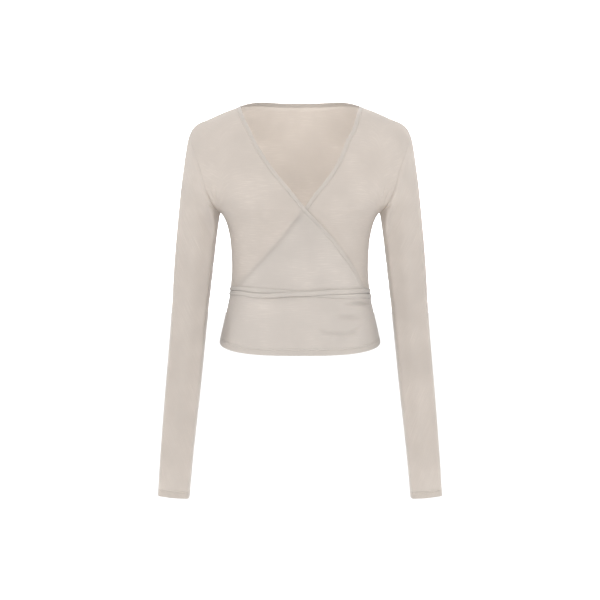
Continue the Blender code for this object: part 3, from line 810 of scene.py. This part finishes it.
def sewn_in(name, mesh, material):
    """Makes the mesh a piece of the garment under that name, attached to the root body."""
    data = bpy.data.meshes.new(name)
    mesh.to_mesh(data)
    mesh.free()
    data.materials.append(material)
    data.shade_smooth()
    piece = bpy.data.objects.new(name, data)
    bpy.context.scene.collection.objects.link(piece)
    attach(piece, "root")
    return piece


STITCH_SIZE = np.array([2.2, 0.45, 0.3]) * MM  # length, width and height
STITCH_PITCH = 3.0 * MM

# Spun polyester thread, matt and a little darker than the jersey. Its twist, 0.8 mm long, is too fine to
# show, so the light and shade of its ridges are painted into its colour, and bumped, 2 mm apart.
thread = bpy.data.materials.new("spun_polyester_thread")
thread.use_nodes = True
thread_tree = thread.node_tree
thread_shader = thread_tree.nodes["Principled BSDF"]
thread_shader.inputs["Roughness"].default_value = 0.65
thread_shader.inputs["Sheen Weight"].default_value = 0.2
spun_at = add_node(thread_tree, "TexCoord").outputs["Object"]
spun = add_node(thread_tree, "TexNoise", {"Vector": spun_at, "Scale": 1 / 0.002, "Detail": 1.0})
thread_tone_and_twist_shade = add_node(
    thread_tree,
    "Mix",
    {"Factor": spun.outputs["Fac"], "A": linear("#B9B0A6"), "B": linear("#CDC5BB")},
    data_type="RGBA",
)
twist = add_node(
    thread_tree, "Bump", {"Height": spun.outputs["Fac"], "Strength": 0.5, "Distance": 0.1 * MM}
)
thread_tree.links.new(thread_tone_and_twist_shade.outputs["Result"], thread_shader.inputs["Base Color"])
thread_tree.links.new(twist.outputs[0], thread_shader.inputs["Normal"])


def stitches(name, rows):
    """Rows of stitches as one piece; each row is a line on the cloth's face, and the same on its back."""
    mesh = bmesh.new()
    for face, reverse in rows:
        long = along(face)
        at = np.arange(STITCH_PITCH / 2, long[-1], STITCH_PITCH)
        lines = (face, np.gradient(face, axis=0), face - reverse)
        places, ways, outs = (
            np.stack([np.interp(at, long, part) for part in line.T], axis=1) for line in lines
        )
        ways = unit(ways)
        beside = unit(np.cross(outs, ways))
        turns = np.stack([ways, beside, np.cross(ways, beside)], axis=2)
        for place, turn in zip(places, turns):
            sewn_at = Matrix.Translation(place) @ Matrix(turn).to_4x4() @ Matrix.Diagonal((*STITCH_SIZE, 1))
            bmesh.ops.create_uvsphere(mesh, u_segments=6, v_segments=4, radius=0.5, matrix=sewn_at)
    return sewn_in(name, mesh, thread)


fine_jersey = jersey("fine_cotton_jersey", "#E7E1DB", "#D8D2CC", "#E5E2DE")

for name, node, shape, ply_behind, cut, area in (
    (
        "outer_front",
        "front_outer",
        front_panel(1, OUTER_EDGE, nothing),
        underlap_shade,
        (0.379, 0.560),
        0.0914,
    ),
    (
        "inner_front",
        "front_inner",
        front_panel(-1, INNER_EDGE, under_outer_front),
        nothing,
        (0.377, 0.562),
        0.0873,
    ),
):
    outer, inner, flat = shape
    shade = np.maximum(ply_behind(outer), hem_shade(along(outer), HEM_DEPTH, HEM_SHADE))
    front = cloth(name, node, outer, inner, flat, shade, fine_jersey)
    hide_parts(node)
    sewn = stitches(f"{name}_stitches", [(outer[row], inner[row]) for row in HEM_STITCHES])

# The back
# One piece of the same jersey, without a middle seam, sewn to both fronts at the shoulders and sides and
# to both sleeves, with the same turned-up hem.
NECK_POINT_X = 100.0 * MM  # where neckline and shoulder seam meet
BINDING_WIDTH = 6.5 * MM
BACK_NECK = table(
    "x z",
    [
        (0, 22.8),
        (25, 22.9),
        (42, 23.3),
        (60, 23.9),
        (72, 23.3),
        (81, 21.8),
        (90, 19.3),
        (96, 17),
        (100, 15.5),
    ],
)
# How much deeper its binding falls than the shoulder's slope lets it, in thousandths, and how far its
# edge stands back from that slope.
NECK_STAND = table("x fall back", [(0, 400, 7), (60, 600, 8), (80, 800, 9), (92, 350, 5), (100, 0, 0)])
NECK_STAND_DEPTH = 20.0 * MM
STRIP_TURN = 8 * MM  # over which a strip turns square to the seam that it ends in
NECK_COLUMNS = 50
SHOULDER_COLUMNS = 36
BACK_FOLDS = table(
    "x z length width turn_up depth slant",
    [
        (-84, -318, 34, 3.4, 2, 1.5, 6000),
        (-66, -343, 40, 4.2, -5, 1.2, 3000),
        (-92, -364, 24, 4.4, 3, 0.8, 0),
        (78, -322, 40, 3.8, 3, 1.4, -5000),
        (60, -349, 36, 4, 5, 1.0, -2000),
        (-74, -331, 36, 7, -1, -0.8, 4000),
        (70, -336, 38, 7, 4, -0.8, -3000),
        (-70, -272, 46, 5, -6, 0.7, -7000),
        (58, -262, 40, 6, -4, 0.6, 8000),
        (8, -238, 62, 8, 7, 0.6, 2000),
    ],
)


def neckline():
    """The back neckline's upper edge from the middle outwards, with its normals and the way down it."""
    x = NECK_POINT_X * np.sin(np.linspace(0, np.pi / 2, FINE))
    fine = torso_point("back", x, look_up(BACK_NECK, "z", x))
    shares = np.linspace(0, 1, NECK_COLUMNS + 1)
    top = np.stack([at_shares(fine, shares, values) for values in fine.T], axis=1)
    normals = torso_normal("back", top)
    run = np.gradient(top, axis=0)
    run[0], run[-1] = (1, 0, 0), (0, -1, 0)
    settle = ease((top[-1, 0] - top[:, 0]) / STRIP_TURN)[:, None]
    run = settle * unit(run) + (1 - settle) * unit(run[-1])
    return top, normals, unit(np.cross(normals, run))


def neck_stand(x, depth):
    """How far the back stands away at a depth below its neckline, which is upright in the middle."""
    return look_up(NECK_STAND, "back", np.abs(x)) * np.clip(1 - depth / NECK_STAND_DEPTH, 0, 1) ** 2


def below_neckline(depths):
    """Points of the back at those depths below its neckline, a row for each place along it."""
    top, _, down = neckline()
    fall = 1 + look_up(NECK_STAND, "fall", top[:, :1])
    strip = np.stack([top + down * fall * depth for depth in depths], axis=1)
    strip[-1, :, 1] = 0
    at_shoulder = strip[..., 1] < 2.5 * MM  # the torso is level across its shoulder line there
    settled = on_torso("back", strip)
    settled[at_shoulder] = strip[at_shoulder]
    settled[at_shoulder, 2] = shoulder_z(strip[at_shoulder, 0])
    settled[..., 1] = np.maximum(settled[..., 1], 0)
    return settled


def back_panel():
    """Outer and inner points of the back, and its place on the flat cloth."""
    cut = below_neckline([BINDING_WIDTH + SEAM_GAP])[:, 0]
    to_neck = np.arange(NECK_COLUMNS + 1) / (NECK_COLUMNS + SHOULDER_COLUMNS)
    points = []
    for row, level in enumerate(LEVELS):
        limit = row_end(level)
        fine = limit * np.sin(np.linspace(0, np.pi / 2, FINE))
        even = at_shares(row_point("back", level, fine), to_neck, fine)
        neck = even + ease((row - ARMPIT_ROW) / ARMHOLE_ROWS) * (cut[:, 0] - even)
        fine = limit * np.sin(np.linspace(np.arcsin(neck[-1] / limit), np.pi / 2, FINE))
        line = row_point("back", level, fine)
        near = 1 - NEAR_SEAM[::-1] / along(line)[-1]
        even = np.linspace(0, near[0], SHOULDER_COLUMNS + 2 - len(near))
        to_side = np.concatenate([even[1:], near[1:]])
        x = np.concatenate([neck, at_shares(line, to_side, fine)])
        z = row_z(level, x)
        if row > ARMPIT_ROW:
            opened = np.zeros(len(x))
            opened[:NECK_COLUMNS] = shoulder_z(neck[:-1]) - np.interp(neck[:-1], cut[:, 0], cut[:, 2])
            z -= opened * (z - ARMPIT_Z) / (shoulder_z(x) - ARMPIT_Z)
        points.append(torso_point("back", x, z))
    points = np.array(points)
    points[TOP_ROW, : NECK_COLUMNS + 1] = cut
    walls = torso_normal("back", points)
    to_top = along(points)
    to_top = to_top[-1:] - to_top
    open_neck = np.arange(points.shape[1]) <= NECK_COLUMNS
    points[..., 1] += open_neck * neck_stand(points[..., 0], to_top + BINDING_WIDTH)
    points = np.concatenate([mirrored(points, -1)[:, :0:-1], points], axis=1)
    walls = np.concatenate([mirrored(walls, -1)[:, :0:-1], walls], axis=1)
    flat = on_flat("back", points)
    from_start, up = along(points, 1), along(points)
    from_end = from_start[:, -1:] - from_start
    stands = side_relief(from_start) + side_relief(from_end)
    stands += seam_relief(up[-1:] - up, *PRESSED_DRAW) + hem_relief(up, HEM_DEPTH)
    thick = PLY * (1 - edge_rounding(up))
    stands -= creases(points, BACK_FOLDS) + armpit_creases(points, 1) + armpit_creases(points, -1)
    stands -= (PLY - thick) / 2
    points += walls * stands[..., None]
    points[..., 1] += armpit_span(LEVELS[:, None], np.minimum(from_start, from_end))
    seam = np.abs(points[TOP_ROW, :, 0]) > NECK_POINT_X
    points[TOP_ROW, seam, 1] += SEAM_GAP / 2
    sew_edge("back", points, walls, from_start, 0, -1)
    sew_edge("back", points, walls, from_end, -1, 1)
    return points, points - walls * thick[..., None], flat


outer, inner, flat = back_panel()
shade = hem_shade(along(outer), HEM_DEPTH, HEM_SHADE)
back = cloth("back_panel", "back", outer, inner, flat, shade, fine_jersey)
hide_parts("back")
back_stitches = stitches("back_stitches", [(outer[row], inner[row]) for row in HEM_STITCHES])

# The sleeves
# Long and slim, each closed by one seam along the underarm and set into its armhole flat, without
# gathers. The cuff is turned up once and held by two rows of stitches.
ARM_FOLDS = table(
    "x z length width turn_up depth slant",
    [
        (150, -256, 26, 5, 4, 0.8, 24000),
        (154, -284, 22, 5, -3, 0.7, 12000),
        (158, -318, 24, 6, 3, 0.5, -16000),
        (208, -302, 20, 8, 0, 0.4, -30000),
        (196, -388, 26, 9, 4, 0.4, 20000),
        (184, -500, 22, 7, 3, 0.5, 14000),
        (190, -560, 20, 6, -3, 0.5, 8000),
        (222, -592, 16, 6, 2, 0.4, -22000),
    ],
)
# The cuff's colour is darkened more than a hem's, as painted shade.
CUFF_SHADE = 0.75
CUFF_STITCHES = (-11, -15)  # the rings that the twin needle sews


def sleeve(side):
    """Outer and inner points of a sleeve, its place on the flat cloth, and its shade."""
    rings, walls = mirrored(RINGS, side), mirrored(RING_NORMALS, side)
    closed = np.concatenate([rings, rings[:, :1]], axis=1)
    around, down = along(closed, 1), along(rings)
    flat = np.stack([around, np.concatenate([down, down[:, :1]], axis=1)], axis=-1)
    underarm = np.minimum(around[:, :-1], around[:, -1:] - around[:, :-1])
    from_cuff = down[-1:] - down
    stands = seam_relief(down, *PRESSED_DRAW)
    stands += seam_relief(underarm, *SEAM_DRAW) * ease(down / (4 * MM))
    stands += hem_relief(from_cuff, CUFF_DEPTH)
    thick = PLY * (1 - edge_rounding(from_cuff))
    stands -= armpit_creases(rings, side) + creases(mirrored(rings, side), ARM_FOLDS) + (PLY - thick) / 2
    rings = rings + walls * stands[..., None]
    loop_levels = np.concatenate([LEVELS[ARMPIT_ROW:], LEVELS[-2:ARMPIT_ROW:-1]])
    forward = np.where(np.arange(len(loop_levels)) <= ARMHOLE_ROWS, -1, 1)
    span = forward * look_up(ARMPIT_SPAN, "clear", loop_levels)
    rings[..., 1] += span * (1 - ease(down / SLEEVE_SPAN_REACH))
    rings[0] += mirrored(APART, side) * SEAM_GAP / 2
    turned = (1 - ease(down / SEAM_TURN))[..., None]
    walls = walls + turned * (mirrored(SLEEVE_SEAM_NORMAL, side) - walls)
    shade = hem_shade(from_cuff, CUFF_DEPTH, CUFF_SHADE)
    return rings, rings - walls * thick[..., None], flat, shade


for name, node, side in (("left_sleeve", "sleeve_left", 1), ("right_sleeve", "sleeve_right", -1)):
    outer, inner, flat, shade = sleeve(side)
    piece = cloth(name, node, outer, inner, flat, shade, fine_jersey, around=True)
    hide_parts(node)
    closed = [np.concatenate([skin, skin[:, :1]], axis=1) for skin in (outer, inner)]
    sewn = [[skin[ring] for skin in closed] for ring in CUFF_STITCHES]
    cuff_stitches = stitches(f"{name}_stitches", sewn)

# The bindings
# A strip of the same jersey folded in two over each wrap edge and round the back neck, 6.5 mm wide
# when done. Its fold is left soft, so it rolls a little, and its seam draws the cloth in.
BINDING_PLY = 0.5 * MM
FOLD_RADIUS = 0.7 * MM  # half the strip's thickness
BINDING_LEVEL = -0.4 * MM  # its middle, from the face of the cloth
# The bindings' colour is darkened a little, as painted shade.
BINDING_SHADE = 0.5
BINDING_ROLL = (5.2 * MM, 0.12 * MM, 1.0 * MM)  # where its fold bulges, how high and how wide
BINDING_SEAM = (0, -0.45 * MM, 0.8 * MM)  # the same for the furrow at its seam
BINDING_VALLEY = (3.7 * MM, -0.08 * MM, 0.7 * MM)  # and for the shallow one between the two
NECK_SHADE = 0.3
SEAM_STITCHES = 3  # the place in FRONT_PLY that is sewn through
FRONT_PLY = np.array([0, 0.35, 0.7, 1.1, 1.6, 2.3, 3.1, 3.6, 4.1, 4.6, 5.0]) * MM
FOLD_STEPS = 8


def folded(lay, half, sink):
    """Outer and inner points of a folded strip and its place on the flat cloth.

    lay gives the points of the torso at distances across the strip from its seam.
    """
    flat_part = np.append(FRONT_PLY, BINDING_WIDTH - FOLD_RADIUS)
    across = np.concatenate([flat_part, np.full(FOLD_STEPS - 1, flat_part[-1]), flat_part[::-1]])
    fold = np.pi * np.arange(1, FOLD_STEPS) / FOLD_STEPS
    turn = np.concatenate([0 * flat_part, fold, 0 * flat_part + np.pi])
    roll = swell(across, *BINDING_ROLL)
    seam, valley = swell(across, *BINDING_SEAM), swell(across, *BINDING_VALLEY)
    skins = []
    for radius in (FOLD_RADIUS, FOLD_RADIUS - BINDING_PLY):
        strip = lay(across + radius * np.sin(turn))
        walls = torso_normal(half, strip)
        stands = BINDING_LEVEL + (radius + roll) * np.cos(turn) + (seam + valley) * (turn == 0)
        stands = stands - sink(strip) - (creases(strip, FRONT_FOLDS) if half == "front" else 0)
        skins.append(strip + walls * stands[..., None])
    long = along(skins[0])[:, len(across) // 2]
    wide = np.concatenate([[0], np.cumsum(np.hypot(np.diff(across), FOLD_RADIUS * np.diff(turn)))])
    flat = np.stack(np.broadcast_arrays(long[:, None], wide), axis=-1)
    return *skins, flat


def front_binding(side, edge, sink):
    """The strip on a wrap front's edge, from the side seam up to the shoulder."""
    line = row_point("front", LEVELS, edge_x(edge, side))[CORNER_ROW:]
    normals = torso_normal("front", line)
    run = unit(np.gradient(line, axis=0))
    long = along(line)
    for end, way in ((long, (0, -1, 0)), (long[-1] - long, (0, 1, 0))):
        settle = ease(end / STRIP_TURN)[:, None]
        run = unit(settle * run + (1 - settle) * np.array(way))
    way = side * unit(np.cross(run, normals))

    def lay(across):
        strip = line[:, None] + way[:, None] * (SEAM_GAP + across)[:, None]
        strip[:-1] = on_torso("front", strip[:-1])
        strip[-1, :, 2] = shoulder_z(strip[-1, :, 0])
        return strip

    outer, inner, flat = folded(lay, "front", sink)
    for skin in (outer, inner):
        skin[[0, -1], :, 1] -= SEAM_GAP / 2
    return outer, inner, flat


def neck_binding():
    """The strip round the back neck, from one shoulder seam to the other."""
    outer, inner, flat = folded(lambda across: below_neckline(BINDING_WIDTH - across), "back", nothing)
    depth = np.abs(BINDING_WIDTH - flat[..., 1])
    halves = []
    for skin in (outer, inner):
        skin[..., 1] += neck_stand(skin[..., 0], depth)
        skin[-1, :, 1] += SEAM_GAP / 2
        halves.append(np.concatenate([mirrored(skin, -1)[:0:-1], skin]))
    return *halves, np.concatenate([(flat * (-1, 1))[:0:-1], flat])


for name, node, shape, shade, cut in (
    (
        "outer_binding",
        "binding_outer",
        front_binding(1, OUTER_EDGE, nothing),
        BINDING_SHADE,
        (0.014, 0.470),
    ),
    (
        "inner_binding",
        "binding_inner",
        front_binding(-1, INNER_EDGE, under_outer_front),
        BINDING_SHADE,
        (0.014, 0.470),
    ),
    ("neck_binding", "binding_neck", neck_binding(), NECK_SHADE, (0.0165, 0.257)),
):
    binding = cloth(name, node, *shape, shade, fine_jersey)
    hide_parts(node)
    sewn = stitches(f"{name}_stitches", [[skin[:, SEAM_STITCHES] for skin in shape[:2]]])

# The ties
# Two flat tubes of the same jersey, 8 mm wide, each sewn into its front's side seam. They cross at the
# middle front, run round the waist and meet in a small flat knot at the middle back.

# turn counts in thousandths from a tie's own side seam: 250 is the middle front, 750 the middle back.
OUTER_TIE = table(
    "turn z width lift",
    [
        (0, -293.8, 5.4, 0),
        (60, -291.2, 6.4, 0),
        (111, -290.2, 6.8, 0),
        (180, -292.4, 7.8, 0),
        (235, -295.3, 8, 0),
        (250, -297, 7.5, 0),
        (265, -298.8, 7.5, 0),
        (305, -301.8, 7.6, 0.1),
        (336, -302.8, 7.2, 0.3),
        (389, -302.9, 8, 0.5),
        (500, -305.6, 7.5, 0),
        (600, -304, 8, 0),
        (750, -300, 8, 0),
    ],
)
INNER_TIE = table(
    "turn z width lift",
    [
        (0, -297, 7.8, 0),
        (60, -295.2, 7.8, 0.5),
        (111, -294.4, 7.7, 0.6),
        (160, -295, 7.5, 0.5),
        (195, -295, 7.6, 2),
        (250, -298.2, 7.2, 2.4),
        (300, -301.2, 7.3, 2),
        (335, -300.9, 7.6, 0),
        (389, -298.2, 7.4, 0),
        (460, -299.2, 6.5, 0),
        (500, -301.2, 5.6, 0),
        (600, -301, 7, 0),
        (750, -300, 8, 0),
    ],
)
TIE_THICK = 1.4 * MM
TIE_PLY = 0.35 * MM
TIE_CLEAR = 0.2 * MM  # of the body
# The ties' colour is darkened a little, as painted shade.
TIE_SHADE = 0.45
TIE_SWELL = 0.25 * MM  # how far its face bulges
TIE_STEPS = 420
TIE_POINTS = 28  # round it
TIE_SQUARENESS = 2.6
TIE_PUCKERS = 110
KNOT_SIZE = np.array([15.0, 6.4, 11.5]) * MM


def tie(rows, side, seed):
    """Outer and inner points of a tie and its place on the flat cloth.

    It runs from the seam at x = -side across the front and round to the knot.
    """
    chance = np.random.default_rng(seed)
    turn = np.linspace(0, rows["turn"][-1], TIE_STEPS + 1)
    size = {name: look_up(rows, name, turn) for name in rows}
    across = -np.cos(2 * np.pi * turn)
    x = look_up(TORSO, "side", size["z"]) * np.sign(across) * np.abs(across) ** (2 / SIDE_SQUARENESS)
    x[-1] = KNOT_SIZE[0] / 2
    middle, normal = np.zeros((2, len(turn), 3))
    for half, part in (("front", turn < 0.5), ("back", turn >= 0.5)):
        middle[part] = torso_point(half, x[part], size["z"][part])
        normal[part] = torso_normal(half, middle[part])
    up = unit(np.cross(normal, np.stack([normal[:, 1], -normal[:, 0], 0 * turn], axis=1)))
    up *= np.sign(up[:, 2:])
    long = along(middle)
    angle = np.linspace(0, 2 * np.pi, TIE_POINTS, endpoint=False)
    power = 2 / TIE_SQUARENESS
    over = np.sign(np.cos(angle)) * np.abs(np.cos(angle)) ** power
    out = np.sign(np.sin(angle)) * np.abs(np.sin(angle)) ** power
    puckers = np.zeros((len(turn), len(angle)))
    for _ in range(TIE_PUCKERS):
        at, where = chance.uniform(0, long[-1]), chance.uniform(-0.9, 0.9)
        slant = chance.uniform(-5, 5) * MM
        length, deep = chance.uniform(3, 11) * MM, chance.uniform(0.08, 0.3) * MM
        off = (over[None] - where) / 0.22 - (long[:, None] - at) / length * slant / (2 * MM)
        puckers += deep * np.exp(-(((long[:, None] - at) / length) ** 2) - off**2)
    skins = []
    for shrink in (0, TIE_PLY):
        wide = (size["width"][:, None] / 2 - shrink) * over
        thick = (TIE_THICK / 2 - shrink) * out
        thick = thick + TIE_SWELL * (out > 0) * (1 - over**2) - puckers * (out > 0)
        lift = (TIE_CLEAR + TIE_THICK / 2 + size["lift"])[:, None] + thick
        skins.append(
            middle[:, None] + up[:, None] * wide[..., None] + normal[:, None] * lift[..., None]
        )
        skins[-1][0, :, 1] -= SEAM_GAP / 2
    around = np.concatenate([along(skins[0], 1), [[0]] * len(turn)], axis=1)
    around[:, -1] = around[:, -2] + np.linalg.norm(skins[0][:, 0] - skins[0][:, -1], axis=1)
    flat = np.stack(np.broadcast_arrays(long[:, None], around), axis=-1)
    return mirrored(skins[0], side), mirrored(skins[1], side), flat


for name, node, shape in (
    ("outer_tie", "tie_outer", tie(OUTER_TIE, 1, 3)),
    ("inner_tie", "tie_inner", tie(INNER_TIE, -1, 8)),
):
    cloth(name, node, *shape, TIE_SHADE, fine_jersey, around=True)
    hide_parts(node)

# The knot at the middle back
# One tie is wound once round the other, drawn tight and tucked in, so that a short band lies across
# two soft shoulders where the ties go in.
KNOT_CLOTH = (34 * MM, 15 * MM)  # its jersey laid flat, round it and across
KNOT_PROFILE = table(
    "along across",  # shares of its width and of its height, in thousandths
    [
        (0, 1000),
        (480, 985),
        (560, 930),
        (610, 790),
        (660, 760),
        (760, 790),
        (880, 700),
        (960, 520),
        (1000, 380),
    ],
)

knot_mesh = bmesh.new()
knot_grain = knot_mesh.loops.layers.uv.new("grain")
knot_plies_and_shade = knot_mesh.verts.layers.float.new("plies")
bmesh.ops.create_uvsphere(knot_mesh, u_segments=48, v_segments=40, radius=1.0, calc_uvs=True)
for face in knot_mesh.faces:
    for loop in face.loops:
        share = loop[knot_grain].uv
        loop[knot_grain].uv = (share.x * KNOT_CLOTH[0], share.y * KNOT_CLOTH[1])
# The knot's cloth gets the full painted shade: its colour is darkened most, and it lets least light
# through.
for vert in knot_mesh.verts:
    vert[knot_plies_and_shade] = 1.0
    x = np.clip(vert.co.z * 1.04, -1, 1)
    turn = np.arctan2(vert.co.x, vert.co.y)
    if abs(vert.co.z) > 0.999:
        wide = 0.0
    else:
        # Five shallow folds lie in the band, and three wind over the whole knot.
        wide = look_up(KNOT_PROFILE, "across", abs(x))
        wide *= 1 - 0.035 * np.cos(5 * turn + 3.1 * x) * (abs(x) < 0.6) - 0.03 * np.cos(3 * turn - 4 * x)
    square = (abs(np.cos(turn)) ** 3 + abs(np.sin(turn)) ** 3) ** (-1 / 3)
    vert.co = (
        x * KNOT_SIZE[0] / 2,
        wide * square * np.cos(turn) * KNOT_SIZE[1] / 2,
        wide * square * np.sin(turn) * KNOT_SIZE[2] / 2 + 0.25 * MM * np.sin(3 * x),
    )
knot_middle = torso_point("back", 0.0, OUTER_TIE["z"][-1])
knot_normal = torso_normal("back", knot_middle)
lean = Matrix.Rotation(np.arctan2(knot_normal[2], knot_normal[1]), 3, "X")
bmesh.ops.rotate(knot_mesh, matrix=lean, verts=knot_mesh.verts[:])
knot_place = knot_middle + knot_normal * (TIE_CLEAR + KNOT_SIZE[1] / 2)
bmesh.ops.translate(knot_mesh, vec=knot_place, verts=knot_mesh.verts[:])
bmesh.ops.recalc_face_normals(knot_mesh, faces=knot_mesh.faces[:])
knot = sewn_in("knot", knot_mesh, fine_jersey)
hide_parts("tie_knot")

# Floor, backdrop and light
# A plain white studio: a matt floor well below the garment, white light from all round, and a soft light
# on each side, in front and above.
FLOOR_Z = -1.35
SOFTBOX_POWER = 24  # watts
SOFTBOX_SIZE = 1.6
SOFTBOX_PLACE = np.array([1.6, -2.9, 0.9])
SOFTBOX_AIM = (0, 0, -0.3)

floor_mesh = bmesh.new()
bmesh.ops.create_grid(floor_mesh, x_segments=1, y_segments=1, size=15)
bmesh.ops.translate(floor_mesh, verts=floor_mesh.verts[:], vec=(0, 0, FLOOR_Z))
floor_data = bpy.data.meshes.new("floor")
floor_mesh.to_mesh(floor_data)
floor_mesh.free()
floor = bpy.data.objects.new("floor", floor_data)
bpy.context.scene.collection.objects.link(floor)
paint = bpy.data.materials.new("matt_white_floor_paint")
paint.use_nodes = True
paint_shader = paint.node_tree.nodes["Principled BSDF"]
paint_shader.inputs["Base Color"].default_value = linear("#E4E4E4")
paint_shader.inputs["Roughness"].default_value = 0.95
paint_shader.inputs["Specular IOR Level"].default_value = 0.0
floor_data.materials.append(paint)

world = bpy.data.worlds.new("white_room")
world.use_nodes = True
air = world.node_tree
background = air.nodes["Background"]
background.inputs["Color"].default_value = linear("#FFFFFF")
# The backdrop behind the garment is lit more than the room in front of it, and the ceiling less.
look = add_node(air, "TexCoord").outputs["Generated"]
way = add_node(air, "SeparateXYZ", {"Vector": look})
walls = add_node(
    air,
    "MapRange",
    {"Value": way.outputs["Y"], "From Min": -0.8, "From Max": 0.8, "To Min": 1.4, "To Max": 2.7},
    interpolation_type="SMOOTHSTEP",
)
ceiling = add_node(
    air,
    "MapRange",
    {"Value": way.outputs["Z"], "From Min": 0.1, "From Max": 0.9, "To Min": 1.0, "To Max": 0.6},
    interpolation_type="SMOOTHSTEP",
)
strength = add_node(air, "Math", {0: walls.outputs[0], 1: ceiling.outputs[0]}, operation="MULTIPLY")
air.links.new(strength.outputs[0], background.inputs["Strength"])
bpy.context.scene.world = world
bpy.context.scene.view_settings.view_transform = "Standard"

for name, side in (("left_softbox", 1), ("right_softbox", -1)):
    softbox = bpy.data.objects.new(name, bpy.data.lights.new(name, "AREA"))
    softbox.data.shape = "SQUARE"
    softbox.data.size = SOFTBOX_SIZE
    softbox.data.energy = SOFTBOX_POWER
    softbox.location = mirrored(SOFTBOX_PLACE, side)
    aim = Vector(SOFTBOX_AIM) - softbox.location
    softbox.rotation_euler = aim.to_track_quat("-Z", "Y").to_euler()
    bpy.context.scene.collection.objects.link(softbox)
